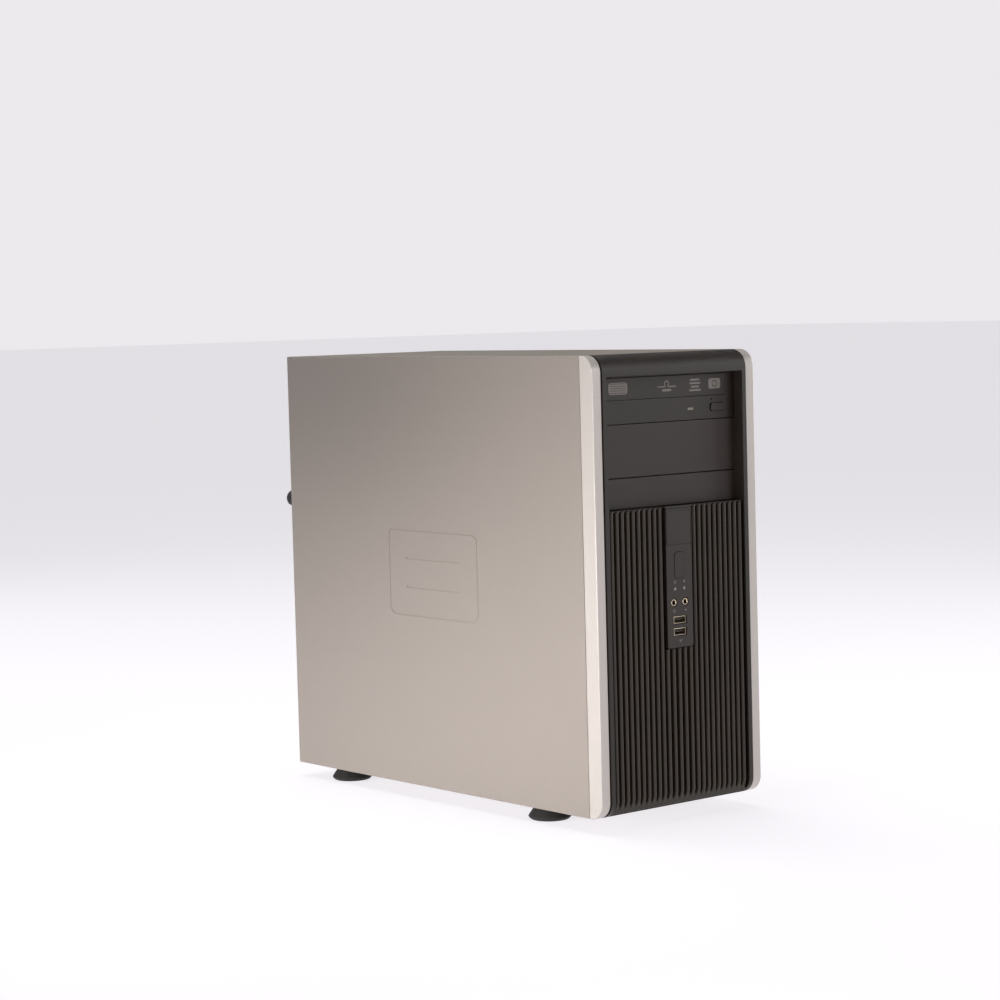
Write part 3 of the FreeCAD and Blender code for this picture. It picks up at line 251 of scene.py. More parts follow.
@dataclass(frozen=True)
class Finish:
    """One surface finish of the tower.

    Attributes:
        name: what a maker calls it.
        grain: the kind of surface.
        colour: its main colour, linear.
        rough: mean roughness.
        metal: how metallic it is.
        second: a second colour, for patterns that have one, or what the backdrop's paper glows with.
        axis: the direction that lines run in.
    """

    name: str
    grain: Grain
    colour: tuple[float, float, float, float]
    rough: float
    metal: float = 0.0
    second: tuple[float, float, float, float] = (0.0, 0.0, 0.0, 1.0)
    axis: Axis = Axis.Y

    def material(self) -> bpy.types.Material:
        """Build the finish's material once, and give the same one after that."""
        made = bpy.data.materials.get(self.name)
        return made or getattr(self, "_" + self.grain.name.lower())(Net(self.name))

    def _paint(self, net: Net) -> bpy.types.Material:
        """Sprayed silver: metal flake, faint orange peel, handling marks and dust."""
        flake = net.cells(5200.0, "Color")
        sparkle = net.add("ShaderNodeSeparateXYZ", {}, {0: flake}, 0)
        marks = net.noise(9.0, 5.0).ramp(0.42, 0.72)
        smear = net.noise(1.0, 4.0, net.stretched((14.0, 14.0, 70.0))).ramp(0.55, 0.8)
        colour = net.mix(sparkle * 0.35, shaded(self.colour, 0.93), shaded(self.colour, 1.12))
        colour = net.mix(marks * 0.10, colour, shaded(self.colour, 0.86))
        rough = marks * 0.05 + smear * 0.05 + (self.rough - 0.05) + sparkle * 0.04
        peel = net.bump(net.noise(620.0, 2.0), 0.00003)
        return net.shade({"Base Color": colour, "Metallic": self.metal, "Roughness": rough,
                          "Normal": net.bump(sparkle, 0.000004, peel), "IOR": 1.5})

    def _moulded(self, net: Net) -> bpy.types.Material:
        """Moulded plastic: spark texture, faint flow streaks, dust on what faces up, hairline scratches."""
        fine = net.noise(2600.0, 2.0)
        wide = net.noise(26.0, 4.0)
        dust = net.facing_up().ramp(0.35, 1.0) * net.noise(180.0, 5.0).ramp(0.35, 0.75)
        hair = net.noise(1.0, 2.0, net.stretched((900.0, 900.0, 22.0))).ramp(0.69, 0.74)
        colour = net.mix(wide.ramp(0.3, 0.75), shaded(self.colour, 0.93), shaded(self.colour, 1.09))
        colour = net.mix(dust * 0.05, colour, (0.34, 0.32, 0.30, 1.0))
        rough = wide * 0.09 + dust * 0.12 + hair * 0.08 + (self.rough - 0.06)
        return net.shade({"Base Color": colour, "Metallic": self.metal, "Roughness": rough,
                          "Normal": net.bump(fine, 0.000028), "IOR": 1.48})

    def _spangle(self, net: Net) -> bpy.types.Material:
        """Galvanised sheet: zinc spangles of differing shade, fine rolling lines and dull patches."""
        spangle = net.add("ShaderNodeSeparateXYZ", {}, {0: net.cells(170.0, "Color")}, 0)
        small = net.add("ShaderNodeSeparateXYZ", {}, {0: net.cells(420.0, "Color")}, 1)
        patch = net.noise(14.0, 4.0).ramp(0.35, 0.7)
        tone = spangle * 0.7 + small * 0.3
        colour = net.mix(tone, shaded(self.colour, 0.84), shaded(self.colour, 1.1))
        colour = net.mix(patch * 0.14, colour, shaded(self.colour, 0.66))
        rough = tone * 0.14 + patch * 0.08 + (self.rough - 0.1)
        lines = net.noise(1.0, 2.0, net.stretched((1500.0, 60.0, 1500.0)))
        return net.shade({"Base Color": colour, "Metallic": self.metal, "Roughness": rough,
                          "Normal": net.bump(lines, 0.000012)})

    def _plated(self, net: Net) -> bpy.types.Material:
        """Nickel plate: nearly even, with a faint haze and small tarnish marks."""
        haze = net.noise(60.0, 4.0)
        tarnish = net.noise(240.0, 5.0).ramp(0.6, 0.8)
        colour = net.mix(tarnish * 0.3, self.colour, shaded(self.colour, 0.62))
        rough = haze * 0.12 + tarnish * 0.15 + (self.rough - 0.05)
        return net.shade({"Base Color": colour, "Metallic": self.metal, "Roughness": rough,
                          "Normal": net.bump(net.noise(900.0, 2.0), 0.000006)})

    def _cast(self, net: Net) -> bpy.types.Material:
        """Cast metal: a sandy skin with darker pits."""
        sand = net.noise(1400.0, 3.0)
        pits = net.cells(900.0).ramp(0.02, 0.2)
        colour = net.mix(pits, shaded(self.colour, 0.6), self.colour)
        return net.shade({"Base Color": colour, "Metallic": self.metal, "Roughness": sand * 0.2 + self.rough,
                          "Normal": net.bump(sand, 0.00005)})

    def _drawn(self, net: Net) -> bpy.types.Material:
        """Extruded or turned metal: fine lines along one axis."""
        scale = [1700.0, 1700.0, 1700.0]
        scale[self.axis.value] = 12.0
        lines = net.noise(1.0, 3.0, net.stretched(tuple(scale)))
        stain = net.noise(40.0, 4.0).ramp(0.4, 0.8)
        colour = net.mix(lines, shaded(self.colour, 0.88), shaded(self.colour, 1.06))
        colour = net.mix(stain * 0.15, colour, shaded(self.colour, 0.7))
        return net.shade({"Base Color": colour, "Metallic": self.metal,
                          "Roughness": lines * 0.15 + stain * 0.08 + (self.rough - 0.1),
                          "Normal": net.bump(lines, 0.000015)})

    def _laminate(self, net: Net) -> bpy.types.Material:
        """Circuit board: copper tracks under the mask as stepped lanes, plated holes and pads."""
        up, along = net.part(Axis.Z), net.part(Axis.Y)
        bend = net.add("ShaderNodeSeparateXYZ", {}, {0: net.cells(42.0, "Color", "F1")}, 0)
        lanes = ((up + bend * 0.011) * 640.0).frac().above(0.5)
        cross = ((along + bend * 0.013) * 520.0).frac().above(0.55)
        zone = net.noise(34.0, 2.0).above(0.52)
        tracks = lanes * zone + cross * (1.0 - zone)
        holes = 1.0 - net.cells(230.0).ramp(0.10, 0.16)
        pads = holes * net.noise(90.0, 2.0).above(0.56)
        colour = net.mix(tracks * 0.6, self.colour, self.second)
        colour = net.mix(pads, colour, (0.55, 0.50, 0.36, 1.0))
        rough = self.rough - tracks * 0.06
        return net.shade({"Base Color": colour, "Metallic": pads * 0.9, "Roughness": rough,
                          "Normal": net.bump(tracks + pads, 0.00005)})

    def _sheet(self, net: Net) -> bpy.types.Material:
        """Plain backdrop paper with a barely seen mottle."""
        mottle = net.noise(3.0, 3.0)
        return net.shade({"Base Color": net.mix(mottle, self.colour, shaded(self.colour, 0.985)),
                          "Roughness": mottle * 0.05 + self.rough, "Emission Color": self.second,
                          "Emission Strength": PAPER_GLOW})

    def _rubber(self, net: Net) -> bpy.types.Material:
        """Matt rubber: bloom, dust and a fine skin."""
        bloom = net.noise(120.0, 5.0).ramp(0.4, 0.8)
        colour = net.mix(bloom * 0.5, self.colour, shaded(self.colour, 2.2))
        return net.shade({"Base Color": colour, "Roughness": bloom * 0.1 + self.rough,
                          "Normal": net.bump(net.noise(1900.0, 3.0), 0.00005)})

    def _sleeve(self, net: Net) -> bpy.types.Material:
        """Cable jacket: slight waves, scuffs and a soft gloss."""
        scuff = net.noise(320.0, 4.0).ramp(0.55, 0.75)
        colour = net.mix(scuff * 0.35, self.colour, shaded(self.colour, 1.9))
        return net.shade({"Base Color": colour, "Roughness": scuff * 0.25 + self.rough,
                          "Normal": net.bump(net.noise(700.0, 3.0), 0.00008)})

    def _clear(self, net: Net) -> bpy.types.Material:
        """A translucent lens, a little milky."""
        milk = net.noise(700.0, 3.0)
        colour = net.mix(milk, self.colour, shaded(self.colour, 1.2))
        return net.shade({"Base Color": colour, "Roughness": milk * 0.1 + self.rough, "Coat Weight": 0.6,
                          "Coat Roughness": 0.08})


SILVER_PAINT = Finish("silver_paint", Grain.PAINT, linear(160, 151, 143), 0.40, 0.4)
# the cheeks are silver-painted plastic; their colour is set lighter than the panel's silver paint as painted
# highlight, for the light that falls on their front-facing bevel
SILVER_CHEEK_PAINTED_LIGHT = Finish("silver_cheek_plastic", Grain.PAINT, linear(197, 190, 184), 0.36, 0.25)
BLACK_FRONT = Finish("black_front_plastic", Grain.MOULDED, linear(30, 22, 17), 0.46)
BLACK_RIB = Finish("black_grille_plastic", Grain.MOULDED, linear(42, 33, 22), 0.36)
BLACK_BLANK = Finish("black_blank_plastic", Grain.MOULDED, linear(36, 25, 19), 0.52)
BLACK_DEEP = Finish("black_deep_plastic", Grain.MOULDED, linear(17, 15, 14), 0.55)
BLACK_STRIP = Finish("black_strip_plastic", Grain.MOULDED, linear(34, 25, 19), 0.44)
BLACK_DRIVE = Finish("black_drive_plastic", Grain.MOULDED, linear(29, 20, 15), 0.46)
TAN_CERAMIC = Finish("tan_ceramic", Grain.MOULDED, linear(176, 146, 108), 0.45)
SLEEVE_NAVY = Finish("navy_sleeve", Grain.SLEEVE, linear(26, 30, 58), 0.34)
MARK_DIM = Finish("dim_marking_ink", Grain.MOULDED, linear(112, 105, 100), 0.5)
MARK_GREY = Finish("grey_marking_ink", Grain.MOULDED, linear(128, 122, 118), 0.5)
ZINC = Finish("galvanised_steel", Grain.SPANGLE, linear(176, 178, 178), 0.42, 0.85)
NICKEL = Finish("nickel_plate", Grain.PLATED, linear(205, 203, 196), 0.25, 1.0)
WARM_PLATE = Finish("warm_plate", Grain.PLATED, linear(214, 198, 172), 0.26, 1.0)
GOLD = Finish("gold_contacts", Grain.PLATED, linear(214, 170, 84), 0.28, 1.0)
CAST_ALLOY = Finish("cast_alloy", Grain.CAST, linear(92, 93, 95), 0.42, 0.8)
EXTRUSION = Finish("extruded_aluminium", Grain.DRAWN, linear(196, 198, 200), 0.36, 1.0, axis=Axis.Z)
CAN_TOP = Finish("capacitor_can", Grain.DRAWN, linear(206, 206, 204), 0.3, 0.9, axis=Axis.X)
BOARD_GREEN = Finish("board_mask", Grain.LAMINATE, linear(22, 66, 40), 0.36, second=linear(48, 104, 60))
CHIP_BLACK = Finish("chip_package", Grain.MOULDED, linear(34, 34, 36), 0.5)
NYLON_PALE = Finish("pale_nylon", Grain.MOULDED, linear(222, 216, 200), 0.45)
NYLON_BLUE = Finish("blue_nylon", Grain.MOULDED, linear(36, 70, 140), 0.42)
NYLON_GREEN = Finish("green_nylon", Grain.MOULDED, linear(40, 120, 84), 0.42)
NYLON_PINK = Finish("pink_nylon", Grain.MOULDED, linear(206, 110, 130), 0.42)
NYLON_VIOLET = Finish("violet_nylon", Grain.MOULDED, linear(96, 76, 140), 0.42)
FOOT_RUBBER = Finish("foot_rubber", Grain.RUBBER, linear(30, 28, 27), 0.72)
LENS_SMOKE = Finish("lens_smoke", Grain.CLEAR, linear(120, 116, 104), 0.2)
CABLE_BLACK = Finish("cable_black", Grain.SLEEVE, linear(26, 26, 27), 0.42)
CABLE_YELLOW = Finish("cable_yellow", Grain.SLEEVE, linear(214, 170, 36), 0.42)
CABLE_RED = Finish("cable_red", Grain.SLEEVE, linear(170, 34, 28), 0.42)
CABLE_BLUE = Finish("cable_blue", Grain.SLEEVE, linear(28, 58, 130), 0.42)
LABEL = Finish("paper_label", Grain.MOULDED, linear(226, 224, 216), 0.5)
FLOOR_PAPER = Finish("floor_paper", Grain.SHEET, linear(150, 148, 151), 0.9, second=linear(240, 238, 242))


# ---------------------------------------------------------------------- shapes
# faces with more corners, or larger in mm2, are flat sheet and shaded flat
FLAT_CORNERS = 5
FLAT_AREA = 60.0


def put(name: str, data: bpy.types.ID) -> bpy.types.Object:
    """A new object in the scene that holds some data."""
    thing = bpy.data.objects.new(name, data)
    bpy.context.scene.collection.objects.link(thing)
    return thing


class Shape:
    """A mesh being made in place, in millimetres."""

    def __init__(self, mesh: bmesh.types.BMesh | None = None) -> None:
        """Start empty or from a mesh.

        Args:
            mesh: an existing bmesh in millimetres.
        """
        self.bm = mesh or bmesh.new()

    @classmethod
    def box(cls, x: Pair, y: Pair, z: Pair, edge: float = 0.0, steps: int = 2) -> "Shape":
        """A block from its (low, high) on each axis.

        Args:
            x: low and high X.
            y: low and high Y.
            z: low and high Z.
            edge: width of the bevel on every edge.
            steps: segments of that bevel.

        Returns:
            The block.
        """
        made = cls()
        bmesh.ops.create_cube(made.bm, size=1.0)
        centre = Vector(((x[0] + x[1]) / 2, (y[0] + y[1]) / 2, (z[0] + z[1]) / 2))
        scale = (x[1] - x[0], y[1] - y[0], z[1] - z[0])
        bmesh.ops.scale(made.bm, vec=scale, verts=made.bm.verts)
        bmesh.ops.translate(made.bm, vec=centre, verts=made.bm.verts)
        return made.bevel(edge, steps) if edge else made

    @classmethod
    def tile(cls, axis: Axis, across: Pair, up: Pair, ends: Pair, corner: float,
             edge: float = 0.0) -> "Shape":
        """A block with rounded corners seen along an axis, and softened faces.

        Args:
            axis: the direction it is seen along.
            across: its extent on the first other axis.
            up: its extent on the second other axis.
            ends: its extent along the axis.
            corner: the corners' radius.
            edge: the bevel of its two faces' outlines.

        Returns:
            The block.
        """
        spans = [across, up]
        spans.insert(axis.value, ends)
        made = cls.box(*spans)
        corner = min(corner, (across[1] - across[0]) / 2 - 1e-3, (up[1] - up[0]) / 2 - 1e-3)
        along = [e for e in made.bm.edges if made._runs(e, axis)]
        made._bevel(along, corner, 6)
        return made.bevel(edge, 2, 60.0) if edge else made

    @classmethod
    def rod(cls, axis: Axis, at: Pair, radius: float, ends: Pair, sides: int = 32, tip: float = 0.0,
            far: float | None = None) -> "Shape":
        """A rod or cone along an axis.

        Args:
            axis: its direction.
            at: its place on the two other axes, in X, Y, Z order.
            radius: its radius at the low end.
            ends: where it starts and ends.
            sides: how many sides stand for the round.
            tip: the bevel of its rims.
            far: its radius at the high end, if that differs.

        Returns:
            The rod.
        """
        made = cls()
        bmesh.ops.create_cone(made.bm, cap_ends=True, segments=sides, radius1=radius,
                              radius2=radius if far is None else far, depth=ends[1] - ends[0])
        made._stand(axis, at, sum(ends) / 2)
        return made.bevel(tip, 3, 60.0) if tip else made

    @classmethod
    def ring(cls, axis: Axis, at: Pair, mean: float, section: Pair, along: float, sides: int = 40) -> "Shape":
        """A ring of rectangular section with soft corners, spun about an axis.

        Args:
            axis: the direction that it is spun about.
            at: its centre on the two other axes.
            mean: its mean radius.
            section: its width across and its thickness along the axis.
            along: the middle of its thickness.
            sides: steps of the spin.

        Returns:
            The ring.
        """
        made = cls()
        half, deep = section[0] / 2, section[1] / 2
        soft = min(half, deep) * 0.55
        outline = [(mean - half + soft, -deep), (mean + half - soft, -deep), (mean + half, -deep + soft),
                   (mean + half, deep - soft), (mean + half - soft, deep), (mean - half + soft, deep),
                   (mean - half, deep - soft), (mean - half, -deep + soft)]
        corners = [made.bm.verts.new((r, 0, h)) for r, h in outline]
        edges = [made.bm.edges.new((a, b)) for a, b in zip(corners, corners[1:] + corners[:1])]
        bmesh.ops.spin(made.bm, geom=corners + edges, cent=(0, 0, 0), axis=(0, 0, 1), angle=2 * math.pi,
                       steps=sides, use_merge=True)
        bmesh.ops.recalc_face_normals(made.bm, faces=made.bm.faces)
        made._stand(axis, at, along)
        return made

    def _stand(self, axis: Axis, at: Pair, along: float) -> None:
        """Turn a shape made round Z to another axis, and put its middle in place."""
        turn = {Axis.X: Matrix.Rotation(math.pi / 2, 3, "Y"), Axis.Y: Matrix.Rotation(-math.pi / 2, 3, "X"),
                Axis.Z: Matrix.Identity(3)}[axis]
        bmesh.ops.rotate(self.bm, cent=(0, 0, 0), matrix=turn, verts=self.bm.verts)
        place = list(at)
        place.insert(axis.value, along)
        bmesh.ops.translate(self.bm, vec=place, verts=self.bm.verts)

    @classmethod
    def copy_of(cls, node: str, edge: float = 0.25, steps: int = 2, angle: float = 32.0) -> "Shape":
        """A CAD node's mesh, merged, with its hard edges softened.

        Args:
            node: the CAD node.
            edge: the bevel's width.
            steps: its segments.
            angle: edges sharper than this are softened, in degrees.

        Returns:
            The shape.
        """
        made = cls()
        made.bm.from_mesh(frame["nodes"][node].data)
        bmesh.ops.scale(made.bm, vec=(1 / MM, 1 / MM, 1 / MM), verts=made.bm.verts)
        bmesh.ops.remove_doubles(made.bm, verts=made.bm.verts, dist=2e-3)
        bmesh.ops.dissolve_limit(made.bm, angle_limit=math.radians(0.6), verts=made.bm.verts,
                                 edges=made.bm.edges)
        bmesh.ops.recalc_face_normals(made.bm, faces=made.bm.faces)
        return made.bevel(edge, steps, angle) if edge else made

    @staticmethod
    def _runs(edge: bmesh.types.BMEdge, axis: Axis) -> bool:
        """Whether an edge runs along an axis."""
        way = edge.verts[1].co - edge.verts[0].co
        return abs(way[axis.value]) > 0.999 * way.length

    def _bevel(self, edges: list[bmesh.types.BMEdge], width: float, steps: int) -> None:
        """Bevel some edges."""
        bmesh.ops.bevel(self.bm, geom=edges, offset=width, offset_type="OFFSET", affect="EDGES",
                        segments=steps, profile=0.5, material=-1, clamp_overlap=True)

    def bevel(self, width: float, steps: int = 2, angle: float = 32.0) -> "Shape":
        """Soften every edge sharper than an angle in degrees."""
        limit = math.radians(angle)
        sharp = [e for e in self.bm.edges if e.is_manifold and e.calc_face_angle(0.0) > limit]
        self._bevel(sharp, width, steps)
        return self

    def join(self, *others: "Shape") -> "Shape":
        """Add other shapes to this one."""
        for other in others:
            held = bpy.data.meshes.new("held")
            other.bm.to_mesh(held)
            other.bm.free()
            self.bm.from_mesh(held)
            bpy.data.meshes.remove(held)
        return self

    def cut(self, *tools: "Shape") -> "Shape":
        """Take other shapes away from this one."""
        body = self._temporary("body")
        cutter = Shape().join(*tools)._temporary("cutter")
        taking = body.modifiers.new("taking", "BOOLEAN")
        taking.operation, taking.solver, taking.object = "DIFFERENCE", "EXACT", cutter
        taking.use_self = True
        graph = bpy.context.evaluated_depsgraph_get()
        result = bpy.data.meshes.new_from_object(body.evaluated_get(graph))
        self.bm = bmesh.new()
        self.bm.from_mesh(result)
        for thing in (body, cutter):
            mesh = thing.data
            bpy.data.objects.remove(thing)
            bpy.data.meshes.remove(mesh)
        bpy.data.meshes.remove(result)
        return self

    def _temporary(self, name: str) -> bpy.types.Object:
        """This shape as an object for a moment."""
        mesh = bpy.data.meshes.new(name)
        self.bm.to_mesh(mesh)
        self.bm.free()
        return put(name, mesh)

    def piece(self, name: str, finish: Finish, body: str, replaces: Iterable[str] = (), slot: str = "",
              smooth: float = 38.0) -> bpy.types.Object:
        """Make the shape an object of the tower.

        Args:
            name: the piece's name.
            finish: its finish.
            body: the CAD body that it moves with.
            replaces: CAD nodes that it stands for.
            slot: the record's material slot; not used.
            smooth: edges flatter than this are shaded smooth, in degrees.

        Returns:
            The object.
        """
        mesh = bpy.data.meshes.new(name)
        bmesh.ops.scale(self.bm, vec=(MM, MM, MM), verts=self.bm.verts)
        self.bm.to_mesh(mesh)
        self.bm.free()
        mesh.set_sharp_from_angle(angle=math.radians(smooth))
        for face in mesh.polygons:
            face.use_smooth = len(face.vertices) <= FLAT_CORNERS and face.area < FLAT_AREA * MM ** 2
        mesh.materials.append(finish.material())
        thing = put(name, mesh)
        weigh = thing.modifiers.new("even_normals", "WEIGHTED_NORMAL")
        weigh.keep_sharp = True
        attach(thing, body)
        if replaces:
            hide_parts(*replaces)
        LOG.info("%s rides %s: %d faces, %s", name, body, len(mesh.polygons), finish.name)
        return thing

    def stand_for(self, node: str, finish: Finish, name: str = "") -> bpy.types.Object:
        """Make the shape the piece that a CAD node is shown as, on that node's body."""
        return self.piece(name or node + "_made", finish, BODIES[node], [node], SLOTS[node])


def record_slots() -> dict[str, str]:
    """Each CAD node's material slot in the record."""
    return {row["node"]: row["material_slot"] for row in frame["record"]["subparts"]}


def node_bodies() -> dict[str, str]:
    """Each CAD node's body in the record."""
    return {node: body for body, nodes in frame["record"]["behaviour"]["bodies"].items() for node in nodes}


SLOTS = record_slots()
BODIES = node_bodies()


def dress(node: str, finish: Finish, edge: float = 0.25, steps: int = 2, more: Sequence[Shape] = (),
          less: Sequence[Shape] = (), angle: float = 32.0) -> bpy.types.Object:
    """A CAD node's own shape with softened edges, any added or removed detail, and a finish.

    Args:
        node: the CAD node.
        finish: its finish.
        edge: the bevel's width in millimetres.
        steps: its segments.
        more: shapes joined to it.
        less: shapes cut from it first.
        angle: edges sharper than this are softened, in degrees.

    Returns:
        The piece that stands for the node.
    """
    if less:
        shape = Shape.copy_of(node, 0.0).cut(*less).bevel(edge, steps, angle)
    else:
        shape = Shape.copy_of(node, edge, steps, angle)
    shape.join(*more)
    return shape.stand_for(node, finish)


def bounds_mm(node: str) -> tuple[Vector, Vector]:
    """A CAD node's lowest and highest corners, in millimetres."""
    low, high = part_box(node)
    return low / MM, high / MM


def islands(node: str) -> list[tuple[Vector, Vector]]:
    """The lowest and highest corners of each separate solid of a node, in millimetres."""
    shape = Shape.copy_of(node, 0.0)
    left = set(shape.bm.verts)
    found = []
    while left:
        group, queue = [], [left.pop()]
        while queue:
            vert = queue.pop()
            group.append(vert.co)
            near = [v for e in vert.link_edges for v in e.verts if v in left]
            left.difference_update(near)
            queue.extend(near)
        corners = [[pick(co[i] for co in group) for i in range(3)] for pick in (min, max)]
        found.append((Vector(corners[0]), Vector(corners[1])))
    shape.bm.free()
    return sorted(found, key=lambda pair: tuple(pair[0]))


def middle(pair: tuple[Vector, Vector]) -> Vector:
    """The centre between two corners."""
    return (pair[0] + pair[1]) / 2


def about(centre: float, half: float) -> Pair:
    """The span that reaches half as far each way from a centre."""
    return (centre - half, centre + half)


def hex_screw(axis: Axis, at: Pair, seat: float, out: int) -> Shape:
    """A hexagon washer-head screw with a cross recess.

    Args:
        axis: the direction of its shank.
        at: its place on the two other axes.
        seat: where its washer rests.
        out: the way its head stands, 1 or -1.

    Returns:
        The screw.
    """
    def along(first: float, last: float) -> Pair:
        """A span of distances in front of the seat."""
        return tuple(sorted((seat + out * first, seat + out * last)))

    head = Shape.rod(axis, at, 3.0, along(0.5, 2.2), 6, 0.25)
    washer = Shape.rod(axis, at, 3.6, along(0.0, 0.7), 28, 0.15)
    spans = [about(at[0], 1.7), about(at[1], 0.4)]
    turned = [about(at[0], 0.4), about(at[1], 1.7)]
    for pair in (spans, turned):
        pair.insert(axis.value, along(1.0, 3.0))
    head.cut(Shape.box(*spans), Shape.box(*turned))
    return head.join(washer, Shape.rod(axis, at, 1.45, along(-5.0, 0.1), 16))


# ----------------------------------------------------------------- front bezel
@dataclass
class FrontBezel:
    """The plastic front: its shell, silver cheeks, ribs, blanks and the strip round the sockets.

    Attributes:
        body: the CAD body that all of it rides on.
        rib_width: width of a rib, in millimetres, as every size here.
        rib_depth: depth of a rib from its crest.
        bend: radius of the ribs' turn under the front.
        bend_angle: how far round it they turn, in degrees.
        centre_pitch: spacing of the five ribs under the strip.
        side_start: place of the first rib beside the strip.
        side_pitch: spacing of the ribs beside the strip.
        strip_bottom: where the strip begins.
        tie_bars: heights of the bars that join the ribs.
        rise: how far the ribs' tops stand up in front of the bay's lower rail.
        gap: half the width kept clear of bars behind the strip.
    """

    body: str = "front_bezel"
    rib_width: float = 3.4
    rib_depth: float = 8.0
    bend: float = 13.0
    bend_angle: float = 67.0
    centre_pitch: float = 6.3
    side_start: float = 18.5
    side_pitch: float = 5.74
    strip_bottom: float = 140.6
    tie_bars: tuple[float, ...] = (74.5, 137.5, 200.5)
    rise: float = 1.4
    gap: float = 16.5

    def build(self) -> None:
        """Make every piece of the front."""
        low, high = bounds_mm("bezel_grille")
        plate = bounds_mm("io_cover_plate")[1].x + 0.3
        rail = [Shape.box(x, (low.y - 2.0, low.y + 1.7), (high.z - 1.0, high.z + 4.0))
                for x in ((low.x - 0.2, -plate), (plate, high.x + 0.2))]
        dress("bezel_frame", BLACK_FRONT, 0.4, 3, less=rail)
        # the cheeks' lighter silver is painted highlight
        dress("bezel_cheeks", SILVER_CHEEK_PAINTED_LIGHT, 0.6, 3)
        dress("bay_blanks", BLACK_BLANK, 0.55, 3)
        dress("light_pipes", LENS_SMOKE, 0.3, 2)
        self.grille()
        self.screen()
        self.strip()

    def _places(self) -> list[float]:
        """The X places of the ribs."""
        centre = [(i - 2) * self.centre_pitch for i in range(5)]
        side = [self.side_start + i * self.side_pitch for i in range(10)]
        return [-x for x in side] + centre + side

    def _rib(self, x: float, front: float, bottom: float, top: float) -> Shape:
        """One rib: a round-crested bar, bent under at the bottom and rounded off at the top.

        Args:
            x: its middle.
            front: its crest.
            bottom: the lowest point of its bend.
            top: its upper end.

        Returns:
            The rib.
        """
        rib = Shape()
        half = self.rib_width / 2
        turn = bottom + self.bend
        outline = [(x - half, front + self.rib_depth), (x + half, front + self.rib_depth)]
        for i in range(9):
            angle = math.pi * i / 8
            outline.append((x + half * math.cos(angle), front + half * (1 - math.sin(angle))))
        ring = [rib.bm.verts.new((px, py, turn)) for px, py in outline]
        edges = [rib.bm.edges.new(pair) for pair in zip(ring, ring[1:] + ring[:1])]
        raised = bmesh.ops.extrude_edge_only(rib.bm, edges=edges)["geom"]
        lifted = [v for v in raised if isinstance(v, bmesh.types.BMVert)]
        bmesh.ops.translate(rib.bm, vec=(0, 0, top - turn), verts=lifted)
        bmesh.ops.spin(rib.bm, geom=ring + edges, cent=(x, front + self.bend, turn), axis=(1, 0, 0),
                       angle=math.radians(self.bend_angle), steps=8, use_merge=False)
        bmesh.ops.holes_fill(rib.bm, edges=rib.bm.edges, sides=0)
        bmesh.ops.recalc_face_normals(rib.bm, faces=rib.bm.faces)
        cap = [e for e in rib.bm.edges if min(e.verts[0].co.z, e.verts[1].co.z) > top - 1e-3]
        rib._bevel(cap, 1.0, 4)
        return rib

    def grille(self) -> None:
        """The ribs, their tie bars and the rails at their ends."""
        low, high = bounds_mm("bezel_grille")
        whole = Shape()
        for x in self._places():
            top = self.strip_bottom if abs(x) < 14 else high.z + self.rise
            whole.join(self._rib(x, low.y, low.z, top))
        back = (low.y + 3.5, low.y + self.rib_depth)
        wide = (low.x, high.x)
        sides = ((low.x, -self.gap), (self.gap, high.x))
        for z in self.tie_bars:
            for ends in (wide,) if z < self.strip_bottom else sides:
                whole.join(Shape.box(ends, back, about(z, 1.2), 0.4))
        for ends in sides:
            whole.join(Shape.box(ends, back, (high.z - 3.1, high.z), 0.4))
        whole.join(Shape.box(wide, back, (low.z + 1.8, low.z + 7.8), 0.4))
        whole.join(Shape.box((-self.gap, self.gap), back, (self.strip_bottom - 3.1, self.strip_bottom), 0.4))
        whole.stand_for("bezel_grille", BLACK_RIB)

    def screen(self) -> None:
        """The thin black dust screen behind the ribs."""
        low, high = bounds_mm("bezel_grille")
        y = (high.y + 0.2, high.y + 0.7)
        side = high.x - 1.0
        lower = Shape.box((-side, side), y, (low.z + 9.0, self.strip_bottom - 4.0), 0.1)
        upper = (self.strip_bottom - 4.2, high.z - 1.0)
        parts = [Shape.box(x, y, upper, 0.1) for x in ((-side, -17.0), (17.0, side))]
        lower.join(*parts).piece("grille_dust_screen", BLACK_DEEP, self.body, slot="black_plastic")

    def strip(self) -> None:
        """The centre strip with its plain badge and small marks."""
        low, high = bounds_mm("io_cover_plate")
        left, right = low.x + 0.7, high.x - 0.7
        recess = Shape.tile(Axis.Y, (left, right), (223.6, 251.0), (low.y - 1.0, low.y + 0.5), 1.0)
        dress("io_cover_plate", BLACK_STRIP, 0.3, 3, less=[recess])
        badge = Shape.tile(Axis.Y, (left + 0.35, right - 0.35), (224.1, 250.7), (low.y + 0.05, low.y + 0.6),
                           0.9, 0.1)
        badge.piece("badge_blank", BLACK_STRIP, self.body, slot="black_plastic")
        face = low.y + 0.4
        ink = (face - 0.08, face + 0.05)
        marks = Shape.ring(Axis.Y, (-5.0, 193.6), 1.0, (0.35, 0.13), sum(ink) / 2, 20)
        marks.join(
            Shape.tile(Axis.Y, (4.2, 5.8), (192.9, 193.4), ink, 0.2),
            Shape.tile(Axis.Y, (4.2, 5.8), (193.9, 194.4), ink, 0.2),
            Shape.ring(Axis.Y, (-6.2, 170.6), 1.1, (0.35, 0.13), sum(ink) / 2, 20),
            Shape.tile(Axis.Y, (5.4, 7.0), (170.2, 171.0), ink, 0.35),
            Shape.tile(Axis.Y, (-1.8, 1.8), (146.4, 146.8), ink, 0.15),
            Shape.tile(Axis.Y, (-0.6, 0.6), (145.2, 145.8), ink, 0.25),
        )
        marks.piece("strip_marks", MARK_GREY, self.body, slot="silver_plastic")


